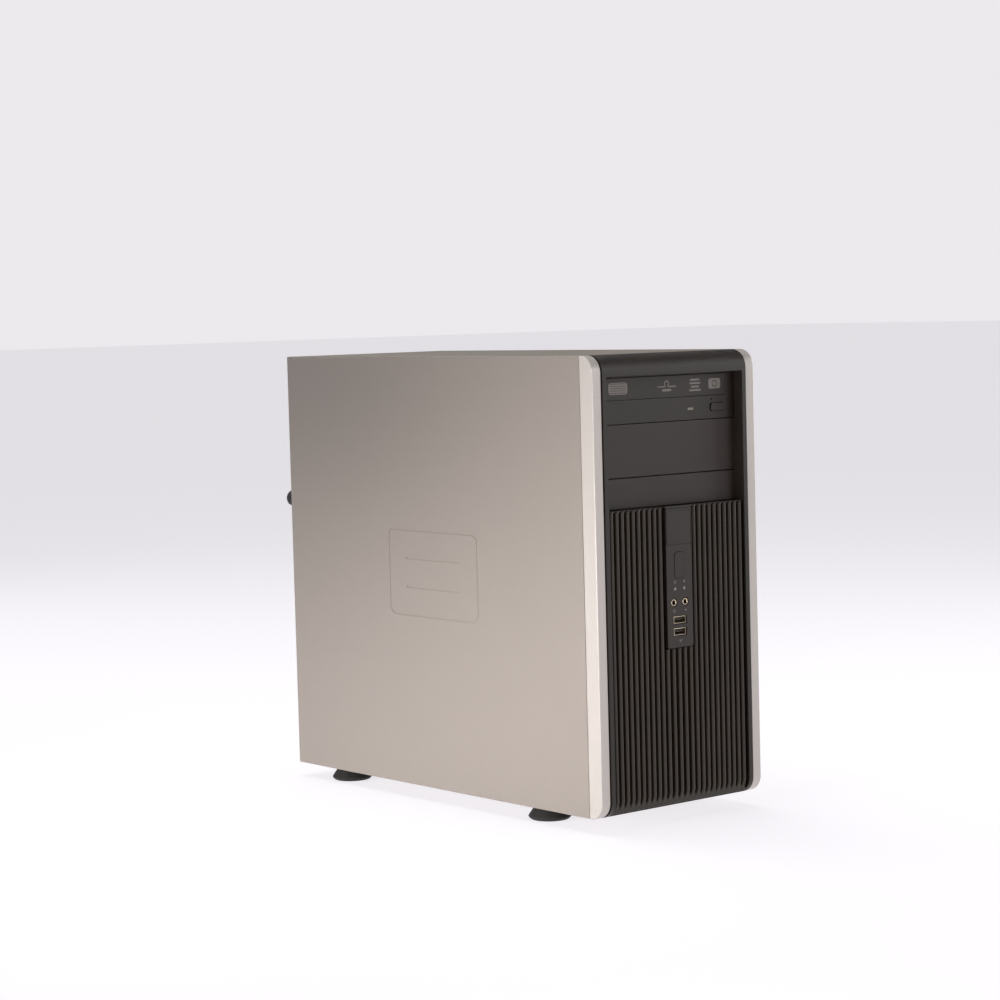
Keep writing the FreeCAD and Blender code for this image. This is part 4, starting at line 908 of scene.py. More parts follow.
# -------------------------------------------------------------- front controls
@dataclass
class FrontControls:
    """The power button, its switch, the sockets and their board, fixed behind the front.

    Attributes:
        body: the CAD body that the fixed ones ride on.
        tongue: width, thickness and length of a socket's tongue, in millimetres.
    """

    body: str = "chassis"
    tongue: Triple = (10.8, 1.8, 9.4)

    def build(self) -> None:
        """Make every piece."""
        self.button()
        self.sockets()
        dress("front_io_board", BOARD_GREEN, 0.2)
        dress("power_switch", BLACK_DEEP, 0.3)
        self.speaker()

    def button(self) -> None:
        """The plain power button."""
        dress("power_button", BLACK_STRIP, 0.8, 3)

    def sockets(self) -> None:
        """The two USB shells with their tongues and contacts, and the two sound sockets."""
        shells, tongues, contacts = Shape(), Shape(), Shape()
        for low, high in islands("front_usb_ports"):
            inside = Shape.box((low.x + 0.5, high.x - 0.5), (low.y - 1, high.y - 3),
                               (low.z + 0.5, high.z - 0.5))
            shells.join(Shape.box((low.x, high.x), (low.y, high.y), (low.z, high.z), 0.25).cut(inside))
            z = (low.z + high.z) / 2 + 0.8
            width, thick, length = self.tongue
            tongues.join(Shape.box((-width / 2, width / 2), (low.y + 1.4, low.y + 1.4 + length),
                                   about(z, thick / 2), 0.25))
            tongues.join(Shape.box((low.x + 0.9, high.x - 0.9), (low.y + 1.6, low.y + 9.4),
                                   (low.z + 0.45, low.z + 1.1), 0.1))
            for i in range(4):
                x = -3.75 + i * 2.5
                contacts.join(Shape.box(about(x, 0.5), (low.y + 2.0, low.y + 9.0),
                                        (z - thick / 2 - 0.08, z - thick / 2 + 0.05), 0.02))
        shells.stand_for("front_usb_ports", WARM_PLATE, "usb_shells")
        tongues.piece("usb_tongues", BLACK_DEEP, self.body, slot="black_plastic")
        contacts.piece("usb_contacts", GOLD, self.body, slot="bright_metal")
        rings, cores = Shape(), Shape()
        for low, high in islands("front_audio_jacks"):
            at = ((low.x + high.x) / 2, (low.z + high.z) / 2)
            rings.join(Shape.ring(Axis.Y, at, 2.35, (1.1, high.y - low.y), (low.y + high.y) / 2, 40))
            cores.join(Shape.ring(Axis.Y, at, 1.9, (0.24, high.y - low.y - 1.6),
                                  (low.y + high.y) / 2 + 0.6, 40))
        rings.stand_for("front_audio_jacks", WARM_PLATE, "sound_socket_rings")
        cores.piece("sound_socket_liners", BLACK_DEEP, self.body, slot="black_plastic")

    def speaker(self) -> None:
        """The small speaker: frame, cone and magnet."""
        low, high = bounds_mm("internal_speaker")
        at = ((low.x + high.x) / 2, (low.z + high.z) / 2)
        radius = (high.x - low.x) / 2
        basket = Shape.rod(Axis.Y, at, radius, (low.y, low.y + 4.0), 48, 0.5)
        basket.cut(Shape.rod(Axis.Y, at, radius - 2.0, (low.y - 1, low.y + 3.2), 48))
        basket.join(Shape.rod(Axis.Y, at, 11.0, (low.y + 4.0, high.y), 40, 0.6))
        basket.stand_for("internal_speaker", BLACK_DEEP, "speaker_basket")
        cone = Shape.rod(Axis.Y, at, radius - 2.2, (low.y + 1.0, low.y + 3.0), 48, 0.0, 8.0)
        cone.piece("speaker_cone", CHIP_BLACK, self.body, slot="black_plastic")


# --------------------------------------------------------------- optical drive
@dataclass
class OpticalDrive:
    """The disc drive in the top bay.

    Attributes:
        body: the CAD body of its fixed pieces.
        tray_body: the CAD body of the tray and its door.
    """

    body: str = "chassis"
    tray_body: str = "disc_tray"

    def build(self) -> None:
        """Make every piece."""
        dress("optical_drive_fascia", BLACK_DRIVE, 0.4, 3)
        dress("drive_activity_lens", LENS_SMOKE, 0.15, 2)
        dress("optical_tray_door", BLACK_DRIVE, 0.35, 3)
        dress("eject_button", BLACK_DRIVE, 0.3, 2)
        dress("optical_tray", BLACK_BLANK, 0.35, 2)
        self.case()
        self.marks()
        self.spindle()

    def case(self) -> None:
        """The steel case and the blank label on its lid."""
        low, high = bounds_mm("optical_drive_case")
        dress("optical_drive_case", ZINC, 0.3, 2)
        label = Shape.tile(Axis.Z, (-48.0, 30.0), (low.y + 96.0, low.y + 156.0), (high.z, high.z + 0.12), 1.5)
        label.piece("disc_drive_label", LABEL, self.body, slot="pale_plastic")

    def marks(self) -> None:
        """Plain dim marks on the tray's door: a barred plate, a ring over bars, a stack and a patch."""
        low, high = bounds_mm("optical_tray_door")
        z = (low.z + high.z) / 2
        ink = about(low.y, 0.06)
        level = sum(ink) / 2
        left, right = low.x + 17.0, high.x - 7.0
        marks = Shape.tile(Axis.Y, about(left, 10.0), (z - 4.4, z + 5.0), ink, 2.4)
        for i in range(5):
            bar = z - 3.4 + i * 1.8
            marks.cut(Shape.tile(Axis.Y, about(left, 8.4), (bar, bar + 0.5), about(level, 1), 0.2))
        marks.join(
            Shape.ring(Axis.Y, (-0.5, z + 2.2), 2.2, (0.9, 0.12), level, 28),
            Shape.tile(Axis.Y, (-10.5, 9.5), (z - 0.5, z + 0.4), ink, 0.3),
            Shape.tile(Axis.Y, (-5.5, 4.5), (z - 3.8, z - 2.0), ink, 0.7),
        )
        for i, half in enumerate((6.4, 4.6, 6.0, 5.2)):
            bar, mid = z - 4.8 + i * 2.8, right - 27.0
            marks.join(Shape.tile(Axis.Y, about(mid, half), (bar, bar + 1.5), ink, 0.5))
        patch = Shape.tile(Axis.Y, (right - 12.0, right + 1.4), (z - 3.6, z + 4.8), ink, 2.2)
        patch.cut(Shape.ring(Axis.Y, (right - 5.3, z + 0.6), 2.4, (0.7, 2.0), level, 28))
        marks.join(patch)
        marks.piece("tray_door_marks", MARK_DIM, self.tray_body, slot="silver_plastic")

    def spindle(self) -> None:
        """The spindle's hub and the laser's sled, seen through the tray's slot."""
        low = bounds_mm("optical_drive_case")[0]
        x = -2.6
        floor = low.z + 1.0
        hub = Shape.rod(Axis.Z, (x, low.y + 118.0), 13.0, (floor + 4.0, floor + 8.0), 40, 0.6)
        hub.join(Shape.rod(Axis.Z, (x, low.y + 118.0), 7.4, (floor, floor + 10.0), 32, 0.8))
        hub.piece("spindle_hub", BLACK_DEEP, self.body, slot="black_plastic")
        sled = Shape.box(about(x, 18.0), (low.y + 136.0, low.y + 156.0), (floor + 2.0, floor + 8.0), 0.8)
        sled.join(Shape.rod(Axis.Z, (x, low.y + 146.0), 3.2, (floor + 7.5, floor + 9.5), 24, 0.4))
        sled.piece("laser_sled", CHIP_BLACK, self.body, slot="black_plastic")
        rails = Shape.rod(Axis.Y, (x - 22.0, floor + 4.5), 1.4, (low.y + 104.0, low.y + 166.0), 16, 0.2)
        rails.join(Shape.rod(Axis.Y, (x + 22.0, floor + 4.5), 1.4, (low.y + 104.0, low.y + 166.0), 16, 0.2))
        rails.piece("sled_rails", NICKEL, self.body, slot="bright_metal")


# ------------------------------------------------------------------ drive cage
@dataclass
class DriveCage:
    """The cage, the hard drive in its frame and the lock lever.

    Attributes:
        body: the CAD body of the fixed pieces.
    """

    body: str = "chassis"

    def build(self) -> None:
        """Make every piece."""
        dress("drive_cage", ZINC, 0.2, 1)
        dress("drive_lock_lever", NYLON_GREEN, 0.5, 3)
        dress("hard_drive_base", CAST_ALLOY, 0.5, 2)
        dress("hard_drive_cover", NICKEL, 0.3, 2)
        self.label()

    def label(self) -> None:
        """A blank label and the lid's screws."""
        low, high = bounds_mm("hard_drive_cover")
        x = (low.x + high.x) / 2
        label = Shape.tile(Axis.Z, about(x, 34), (high.y - 42.0, high.y - 6.0), (high.z, high.z + 0.12), 2.0)
        label.piece("hard_drive_label", LABEL, self.body, slot="pale_plastic")
        screws = Shape()
        for side in (-1, 1):
            for y in (low.y + 5.0, (low.y + high.y) / 2, high.y - 5.0):
                at = (x + side * 45.0, y)
                head = Shape.rod(Axis.Z, at, 2.3, (high.z - 0.2, high.z + 0.9), 24, 0.3)
                screws.join(head.cut(Shape.rod(Axis.Z, at, 0.9, (high.z + 0.3, high.z + 2), 6)))
        screws.piece("hard_drive_lid_screws", NICKEL, self.body, slot="bright_metal")


# ------------------------------------------------------------------ steel case
@dataclass
class SteelCase:
    """The sheet-metal case, its removable panel, feet, slot covers and screws.

    Attributes:
        body: the CAD body of the fixed pieces.
        relief_y: extent along Y of the frame pressed in the panel, in millimetres.
        relief_z: its extent along Z.
        relief_width: width of its groove.
        relief_depth: depth of its groove.
        relief_bars: heights of the two bars inside it.
        seam: the X where two fields of the rear sheet meet.
    """

    body: str = "chassis"
    relief_y: Pair = (-63.5, 57.2)
    relief_z: Pair = (157.0, 231.5)
    relief_width: float = 2.2
    relief_depth: float = 0.4
    relief_bars: Pair = (182.0, 206.5)
    seam: float = 25.0

    def build(self) -> None:
        """Make every piece."""
        for node in ("chassis_floor", "chassis_top", "right_side_cover"):
            dress(node, SILVER_PAINT, 0.3, 2)
        dress("chassis_front_plate", ZINC, 0.15, 1)
        dress("board_tray", ZINC, 0.25, 2)
        dress("slot_covers", ZINC, 0.25, 2)
        dress("slot_cover_latch", NYLON_GREEN, 0.5, 2)
        dress("rubber_feet", FOOT_RUBBER, 0.8, 3, angle=24.0)
        self.rear_panel()
        self.panel()
        self.thumbscrew()
        self.screws()

    def rear_panel(self) -> None:
        """The rear sheet as one: the inner faces where its fields meet are taken away."""
        shape = Shape.copy_of("chassis_rear_panel", 0.0)
        levels = sorted({round(corner.z, 3) for pair in islands("chassis_rear_panel") for corner in pair})
        walls = [(2, level) for level in levels[1:-1]] + [(0, self.seam)]
        inner = [f for f in shape.bm.faces
                 if any(all(abs(v.co[axis] - level) < 2e-3 for v in f.verts) for axis, level in walls)]
        bmesh.ops.delete(shape.bm, geom=inner, context="FACES")
        bmesh.ops.dissolve_limit(shape.bm, angle_limit=math.radians(0.6), verts=shape.bm.verts,
                                 edges=shape.bm.edges)
        shape.bevel(0.2, 1)
        shape.stand_for("chassis_rear_panel", ZINC)

    def panel(self) -> None:
        """The removable side: rolled long edges and a shallow plain frame pressed in its middle."""
        low, high = bounds_mm("access_panel")
        shape = Shape.copy_of("access_panel", 0.0)
        ring = self._frame(0.0, low.x, 8.0)
        ring.cut(self._frame(self.relief_width, low.x, 6.0))
        bars = [Shape.tile(Axis.X, (self.relief_y[0] + 24, self.relief_y[1] - 24), about(z, 1.1),
                           (low.x - 1.0, low.x + self.relief_depth), 1.0) for z in self.relief_bars]
        shape.cut(ring, *bars)
        rolled = [e for e in shape.bm.edges if shape._runs(e, Axis.Y)
                  and abs(e.verts[0].co.x - low.x) < 1e-2
                  and min(abs(e.verts[0].co.z - low.z), abs(e.verts[0].co.z - high.z)) < 1e-2]
        shape._bevel(rolled, 0.95, 5)
        shape.bevel(0.12, 2, 50.0)
        shape.stand_for("access_panel", SILVER_PAINT)

    def _frame(self, inset: float, face: float, corner: float) -> Shape:
        """A rounded rectangle through the panel's outer skin, set in by a distance."""
        return Shape.tile(Axis.X, (self.relief_y[0] + inset, self.relief_y[1] - inset),
                          (self.relief_z[0] + inset, self.relief_z[1] - inset),
                          (face - 1.0 - inset, face + self.relief_depth + inset), corner)

    def thumbscrew(self) -> None:
        """The panel's grooved screw with a slot in its head."""
        low, high = bounds_mm("access_panel_thumbscrew")
        centre = middle((low, high))
        slot = Shape.box(about(centre.x, 5.0), (high.y - 1.2, high.y + 1), about(centre.z, 0.6))
        dress("access_panel_thumbscrew", BLACK_DEEP, 0.3, 2, less=[slot])

    def screws(self) -> None:
        """The hexagon screws of the board, the power supply and the hard drive."""
        drive = middle(bounds_mm("hard_drive_base")).x
        rear = bounds_mm("slot_covers")[1].y
        whole = Shape()
        for low, high in islands("case_screws"):
            at = middle((low, high))
            if high.y > rear + 2:
                whole.join(hex_screw(Axis.Y, (at.x, at.z), high.y - 2.2, 1))
            elif at.x > 70:
                whole.join(hex_screw(Axis.X, (at.y, at.z), low.x + 2.2, -1))
            elif at.x > drive:
                whole.join(hex_screw(Axis.X, (at.y, at.z), high.x - 2.2, 1))
            else:
                whole.join(hex_screw(Axis.X, (at.y, at.z), low.x + 2.2, -1))
        whole.stand_for("case_screws", NICKEL)
        dress("fan_screws", BLACK_DEEP, 0.4, 2)


# ---------------------------------------------------------------- power supply
@dataclass
class PowerUnit:
    """The power supply: case, guard, inlet, fan, selector and label.

    Attributes:
        body: the CAD body that it rides on.
    """

    body: str = "chassis"

    def build(self) -> None:
        """Make every piece."""
        dress("power_supply_case", ZINC, 0.3, 2)
        dress("power_supply_fan_guard", NICKEL, 0.0)
        dress("power_supply_inlet", BLACK_DEEP, 0.4, 2)
        fan("power_supply_fan_frame", "power_supply_fan_rotor", Axis.Y)
        self.pins()
        self.selector()

    def pins(self) -> None:
        """The inlet's three blades."""
        low, high = bounds_mm("power_supply_inlet")
        at = middle((low, high))
        pins = Shape()
        for x, z in ((-7.0, -2.0), (0.0, 2.0), (7.0, -2.0)):
            pins.join(Shape.box((at.x + x - 1.1, at.x + x + 1.1), (high.y - 14.0, high.y - 1.9),
                                (at.z + z - 2.1, at.z + z + 2.1), 0.5))
        pins.piece("inlet_blades", NICKEL, self.body, slot="bright_metal")

    def selector(self) -> None:
        """The voltage selector, and the case's blank label with bars for its lines."""
        low, high = bounds_mm("power_supply_case")
        x, z = 48.0, low.z + 47.0
        frame_piece = Shape.tile(Axis.Y, about(x, 8), about(z, 5), (high.y - 0.2, high.y + 0.8), 1.0, 0.25)
        frame_piece.cut(Shape.tile(Axis.Y, about(x, 6.4), about(z, 3.4), (high.y + 0.1, high.y + 2), 0.6))
        frame_piece.piece("selector_bezel", BLACK_DEEP, self.body, slot="black_plastic")
        slide = Shape.tile(Axis.Y, (x - 6.0, x + 1.5), about(z, 3.0), (high.y + 0.05, high.y + 0.6),
                           0.5, 0.15)
        slide.piece("selector_slide", CABLE_RED, self.body, slot="black_plastic")
        label = Shape.tile(Axis.X, (low.y + 30.0, low.y + 108.0), (low.z + 12.0, low.z + 74.0),
                           (low.x - 0.12, low.x), 2.0)
        label.piece("power_supply_label", LABEL, self.body, slot="pale_plastic")
        bars = Shape()
        start = low.y + 36.0
        for i in range(9):
            bars.join(Shape.box((low.x - 0.18, low.x - 0.1), (start, start + (60.0, 44.0, 66.0)[i % 3]),
                                (low.z + 18.0 + i * 6.0, low.z + 19.4 + i * 6.0)))
        bars.piece("power_supply_label_bars", CHIP_BLACK, self.body, slot="black_plastic")


def fan(frame_node: str, rotor_node: str, axis: Axis) -> None:
    """A fan's frame, rotor and hub sticker.

    Args:
        frame_node: the CAD node of the frame.
        rotor_node: the CAD node of the rotor.
        axis: the direction that it turns about.
    """
    dress(frame_node, BLACK_DEEP, 0.35, 2)
    dress(rotor_node, BLACK_BLANK, 0.25, 2)
    low, high = bounds_mm(frame_node)
    at = middle((low, high))
    place = [at[i] for i in range(3) if i != axis.value]
    end = high[axis.value]
    size = (high.z - low.z) * 0.17
    sticker = Shape.rod(axis, tuple(place), size, (end - 0.02, end + 0.1), 40)
    sticker.piece(frame_node + "_sticker", LABEL, BODIES[frame_node], slot="pale_plastic")


# --------------------------------------------------------------------- cooling
@dataclass
class Cooling:
    """The rear fan, the processor's fan and the heat sinks.

    Attributes:
        body: the CAD body of the fixed pieces.
    """

    body: str = "chassis"

    def build(self) -> None:
        """Make every piece."""
        fan("rear_fan_frame", "rear_fan_rotor", Axis.Y)
        fan("processor_fan_frame", "processor_fan_rotor", Axis.X)
        dress("processor_heat_sink", EXTRUSION, 0.15, 1)
        dress("chipset_heat_sink", EXTRUSION, 0.15, 1)
        self.spring()

    def spring(self) -> None:
        """The wire spring that holds the chipset's sink, with a hook at each end."""
        low, high = bounds_mm("chipset_heat_sink")
        at = middle((low, high))
        wire = Shape.rod(Axis.Z, (low.x + 1.0, at.y), 0.8, (low.z - 3.0, high.z + 3.0), 12)
        for z in (low.z - 3.0, high.z + 3.0):
            wire.join(Shape.rod(Axis.X, (at.y, z), 0.8, (low.x + 1.0, high.x), 12))
        wire.piece("chipset_spring", NICKEL, self.body, slot="bright_metal")


# ------------------------------------------------------------------ main board
@dataclass
class MainBoard:
    """The board and what stands on it.

    Attributes:
        body: the CAD body that it rides on.
        chips: (y, z, half width, half height, thickness) of its packages.
        coils: (y, z) of the choke coils beside the processor.
        small_parts: how many small parts are tried.
        standing: the nodes that small parts keep clear of.
        face: the X of the side that they stand on, in millimetres.
    """

    body: str = "chassis"
    chips: tuple[tuple[float, float, float, float, float], ...] = (
        (104.0, 124.0, 10.0, 10.0, 1.6), (165.0, 110.0, 7.0, 7.0, 1.5), (-12.0, 72.0, 5.0, 9.0, 1.6),
        (34.0, 44.0, 6.0, 4.5, 1.4), (168.0, 62.0, 6.0, 9.0, 1.5), (2.0, 46.0, 4.0, 4.0, 1.2),
        (-32.0, 108.0, 4.0, 7.0, 1.6), (120.0, 142.0, 4.0, 5.0, 1.3), (96.0, 150.0, 5.0, 3.0, 1.3),
    )
    coils: tuple[Pair, ...] = ((137.0, 182.0), (137.0, 200.0), (137.0, 218.0), (137.0, 236.0))
    small_parts: int = 260
    standing: tuple[str, ...] = ("processor_socket", "memory_sockets", "expansion_slots", "board_connectors",
                                 "capacitors", "coin_cell", "chipset_heat_sink", "case_screws", "rear_ports")
    face: float = field(default_factory=lambda: bounds_mm("motherboard")[0].x)

    def build(self) -> None:
        """Make every piece."""
        dress("motherboard", BOARD_GREEN, 0.15, 1)
        dress("processor_socket", NYLON_PALE, 0.3, 2)
        dress("memory_sockets", BLACK_DEEP, 0.35, 2)
        dress("expansion_slots", NYLON_PALE, 0.3, 2)
        dress("board_connectors", NYLON_PALE, 0.3, 2)
        self.packages()
        self.cans()
        self.cell()
        self.modules()
        self.latches()
        self.pins()

    def packages(self) -> None:
        """Chips with a pin-one dot, choke coils, and many small resistors and capacitors."""
        chips, dots, coils, small, pale = Shape(), Shape(), Shape(), Shape(), Shape()
        for y, z, wide, high, thick in self.chips:
            chips.join(Shape.box((self.face - thick, self.face), about(y, wide), about(z, high), 0.2))
            dots.join(Shape.rod(Axis.X, (y - wide + 1.4, z + high - 1.4), 0.5,
                                (self.face - thick - 0.04, self.face - thick + 0.02), 12))
        for y, z in self.coils:
            depth = (self.face - 7.5, self.face)
            coils.join(Shape.tile(Axis.X, about(y, 5.5), about(z, 5.5), depth, 1.6, 0.5))
        taken = [pair for node in self.standing for pair in islands(node)]
        taken += [(Vector((0, y - w - 1, z - h - 1)), Vector((0, y + w + 1, z + h + 1)))
                  for y, z, w, h, _ in self.chips]
        taken += [(Vector((0, y - 6, z - 6)), Vector((0, y + 6, z + 6))) for y, z in self.coils]
        low, high = bounds_mm("motherboard")
        for i in range(self.small_parts):
            y = low.y + 6.0 + (i * 61.803) % (high.y - low.y - 26.0)
            z = low.z + 6.0 + (i * 37.719) % (high.z - low.z - 12.0)
            if any(a.y - 2.5 < y < b.y + 2.5 and a.z - 2.5 < z < b.z + 2.5 for a, b in taken):
                continue
            long, thin = (1.6, 0.8) if i % 3 else (2.4, 1.3)
            if i % 2:
                long, thin = thin, long
            target = pale if i % 4 == 0 else small
            target.join(Shape.box((self.face - 0.9, self.face), about(y, long), about(z, thin)))
        chips.piece("board_chips", CHIP_BLACK, self.body, slot="black_plastic")
        dots.piece("chip_dots", MARK_GREY, self.body, slot="silver_plastic")
        coils.piece("choke_coils", CAST_ALLOY, self.body, slot="cast_metal")
        small.piece("board_resistors", CHIP_BLACK, self.body, slot="black_plastic")
        pale.piece("board_ceramics", TAN_CERAMIC, self.body, slot="pale_plastic")

    def cans(self) -> None:
        """Capacitors: a dark sleeve, a bright scored top and a pale stripe."""
        sleeves, tops, stripes = Shape(), Shape(), Shape()
        for low, high in islands("capacitors"):
            at = middle((low, high))
            radius = (high.y - low.y) / 2
            sleeves.join(Shape.rod(Axis.X, (at.y, at.z), radius, (low.x + 0.1, high.x), 28, 0.4))
            top = Shape.rod(Axis.X, (at.y, at.z), radius - 0.7, (low.x, low.x + 0.6), 28)
            reach = radius - 1.0
            top.cut(Shape.box((low.x - 1, low.x + 0.15), about(at.y, reach), about(at.z, 0.15)),
                    Shape.box((low.x - 1, low.x + 0.15), about(at.y, 0.15), about(at.z, reach)))
            tops.join(top)
            stripes.join(Shape.box((low.x + 1.2, high.x - 1.2), about(at.y, 1.2),
                                   (at.z + radius - 0.25, at.z + radius + 0.04), 0.02))
        sleeves.stand_for("capacitors", SLEEVE_NAVY, "capacitor_sleeves")
        tops.piece("capacitor_tops", CAN_TOP, self.body, slot="capacitor_can")
        stripes.piece("capacitor_stripes", MARK_GREY, self.body, slot="silver_plastic")

    def cell(self) -> None:
        """The coin cell in its black holder."""
        low, high = bounds_mm("coin_cell")
        at = middle((low, high))
        radius = (high.y - low.y) / 2
        cell = Shape.rod(Axis.X, (at.y, at.z), radius - 1.6, (low.x, high.x - 2.0), 48, 0.5)
        cell.stand_for("coin_cell", NICKEL, "coin_cell_can")
        holder = Shape.rod(Axis.X, (at.y, at.z), radius, (high.x - 2.6, high.x), 48, 0.3)
        holder.join(Shape.box((low.x - 0.4, high.x), about(at.y, 2.5),
                              (at.z + radius - 2.2, at.z + radius), 0.4))
        holder.piece("coin_cell_holder", BLACK_DEEP, self.body, slot="black_plastic")

    def modules(self) -> None:
        """The memory modules: boards, chips, gold edges and blank labels."""
        boards, chips, edges, labels = Shape(), Shape(), Shape(), Shape()
        for low, high in islands("memory_modules"):
            y = (low.y + high.y) / 2
            boards.join(Shape.box((low.x, high.x), about(y, 0.6), (low.z, high.z), 0.15))
            for side in (-1, 1):
                skin = sorted((y + side * 0.55, y + side * (high.y - y)))
                for i in range(8):
                    z = low.z + 6.6 + i * 15.6
                    chips.join(Shape.box((low.x + 11, low.x + 23), tuple(skin), (z, z + 10), 0.15))
                gold = sorted((y + side * 0.55, y + side * 0.68))
                for i in range(24):
                    z = low.z + 4.0 + i * 5.2
                    edges.join(Shape.box((high.x - 4.0, high.x), tuple(gold), (z, z + 3.2)))
            label = sorted((high.y, high.y + 0.1))
            labels.join(Shape.box((low.x + 12, low.x + 22), tuple(label), (low.z + 38, low.z + 94), 0.02))
        boards.stand_for("memory_modules", BOARD_GREEN, "memory_boards")
        chips.piece("memory_chips", CHIP_BLACK, self.body, slot="black_plastic")
        edges.piece("memory_contacts", GOLD, self.body, slot="bright_metal")
        labels.piece("memory_labels", LABEL, self.body, slot="pale_plastic")

    def latches(self) -> None:
        """The memory sockets' end latches and the processor socket's load lever."""
        latches, lever = Shape(), Shape()
        for low, high in islands("memory_sockets"):
            y = (low.y + high.y) / 2
            for z in (low.z - 2.0, high.z + 2.0):
                latches.join(Shape.tile(Axis.Y, (low.x - 10.0, high.x - 1.0), about(z, 2.0),
                                        about(y, 2.0), 1.5, 0.3))
        latches.piece("memory_latches", NYLON_PALE, self.body, slot="pale_plastic")
        low, high = bounds_mm("processor_socket")
        lever.join(Shape.rod(Axis.Z, (high.x - 1.6, low.y - 1.6), 0.9, (low.z + 2.0, high.z + 4.0), 12, 0.3))
        lever.join(Shape.rod(Axis.Y, (high.x - 1.6, low.z + 2.0), 0.9, (low.y - 1.6, high.y - 4.0), 12, 0.3))
        lever.piece("processor_load_lever", NICKEL, self.body, slot="bright_metal")

    def pins(self) -> None:
        """Gold pins of the long headers."""
        pins = Shape()
        for low, high in islands("board_connectors"):
            if high.y - low.y > 20:
                count = int((high.y - low.y) / 2.54)
                for i in range(count):
                    for z in (low.z + 1.3, high.z - 1.3):
                        y = low.y + 1.3 + i * 2.54
                        pins.join(Shape.box((low.x - 2.4, low.x + 0.3), about(y, 0.32), about(z, 0.32)))
        pins.piece("header_pins", GOLD, self.body, slot="bright_metal")


# ---------------------------------------------------------------- rear sockets
@dataclass
class RearSockets:
    """The board's rear sockets and their shield.

    Attributes:
        body: the CAD body that they ride on.
    """

    body: str = "chassis"

    def build(self) -> None:
        """Make the shells, the shield and what fills each socket."""
        dress("io_shield", NICKEL, 0.12, 1)
        shells, inserts, tongues, blues, golds = Shape(), Shape(), Shape(), Shape(), Shape()
        keys = [Shape(), Shape()]
        sound = [Shape() for _ in range(3)]
        screws = Shape()
        rounds = 0
        for low, high in islands("rear_ports"):
            x, y, z = (low.x, high.x), (low.y, high.y), (low.z, high.z)
            at = middle((low, high))
            wide, tall = high.x - low.x, high.z - low.z
            if abs(wide - tall) < 0.2 and wide < 10.5:
                mean, section = (wide / 2 + 1.8) / 2, (wide / 2 - 1.8, high.y - low.y)
                sound[rounds].join(Shape.ring(Axis.Y, (at.x, at.z), mean, section, at.y, 40))
                rounds += 1
                continue
            hollow = Shape.box((x[0] + 0.8, x[1] - 0.8), (y[1] - 9, y[1] + 1), (z[0] + 0.8, z[1] - 0.8))
            shells.join(Shape.box(x, y, z, 0.25).cut(hollow))
            inner_x, inner_z = (x[0] + 0.8, x[1] - 0.8), (z[0] + 0.8, z[1] - 0.8)
            if tall > 25:
                blues.join(Shape.tile(Axis.Y, (x[0] + 1.8, x[1] - 1.8), (z[0] + 5, z[1] - 5),
                                      (y[1] - 9.2, y[1] - 1), 2.0, 0.3))
                for end in (z[0] + 2.6, z[1] - 2.6):
                    screws.join(Shape.rod(Axis.Y, (at.x, end), 1.7, (y[1] - 9.2, y[1] + 1.0), 6, 0.2))
            elif wide > 13.5 and tall < 14:
                key = Shape.rod(Axis.Y, (at.x, at.z), 6.0, (y[1] - 9.2, y[1] - 0.6), 40, 0.4)
                spots = [(at.x + 3.0 * math.cos(a * math.pi / 3), at.z + 3.0 * math.sin(a * math.pi / 3))
                         for a in range(6)]
                holes = [Shape.rod(Axis.Y, spot, 0.6, (y[1] - 4, y[1] + 1), 10) for spot in spots]
                keys[0 if at.x < 60 else 1].join(key.cut(*holes))
            elif wide > 10:
                inserts.join(Shape.box(inner_x, (y[1] - 9.2, y[1] - 8.2), inner_z, 0.1))
                for i in range(8):
                    height = z[0] + 3.6 + i * 1.1
                    golds.join(Shape.box((x[1] - 3.2, x[1] - 1.0), (y[1] - 8.4, y[1] - 1.5),
                                         (height, height + 0.45)))
            else:
                tongues.join(Shape.box((at.x - 0.2, at.x + 1.6), (y[1] - 9.2, y[1] - 1.4),
                                       (z[0] + 1.6, z[1] - 1.6), 0.2))
        shells.stand_for("rear_ports", NICKEL, "rear_socket_shells")
        inserts.piece("network_liner", BLACK_DEEP, self.body, slot="black_plastic")
        golds.piece("network_contacts", GOLD, self.body, slot="bright_metal")
        tongues.piece("rear_usb_tongues", BLACK_DEEP, self.body, slot="black_plastic")
        blues.piece("display_socket", NYLON_BLUE, self.body, slot="black_plastic")
        screws.piece("display_socket_nuts", NICKEL, self.body, slot="bright_metal")
        named = (("keyboard_socket", NYLON_VIOLET), ("mouse_socket", NYLON_GREEN), ("sound_in", NYLON_BLUE),
                 ("sound_out", NYLON_GREEN), ("sound_microphone", NYLON_PINK))
        for shape, (name, finish) in zip(keys + sound, named):
            shape.piece(name, finish, self.body, slot="black_plastic")


# ---------------------------------------------------------------------- wiring
@dataclass(frozen=True)
class Harness:
    """One cable inside the case, held at both ends.

    Attributes:
        name: the piece's name.
        node: the CAD node that it stands for.
        finish: its jacket.
        radius: its radius, in millimetres.
        route: the points that steer it, in metres.
    """

    name: str
    node: str
    finish: Finish
    radius: float
    route: tuple[Triple, ...]

    def curve(self) -> bpy.types.Object:
        """Lay the cable as one smooth spline and make it ride the case."""
        data = bpy.data.curves.new(self.name, "CURVE")
        data.dimensions = "3D"
        spline = data.splines.new("NURBS")
        spline.points.add(len(self.route) - 1)
        for point, place in zip(spline.points, self.route):
            point.co = (*place, 1.0)
        spline.order_u = 3
        spline.use_endpoint_u = True
        data.resolution_u = 12
        data.bevel_depth = self.radius * MM
        data.bevel_resolution = 5
        data.use_fill_caps = True
        data.materials.append(self.finish.material())
        thing = put(self.name, data)
        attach(thing, BODIES[self.node])
        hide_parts(self.node)
        LOG.info("%s rides %s: cable, %s", self.name, BODIES[self.node], self.finish.name)
        return thing


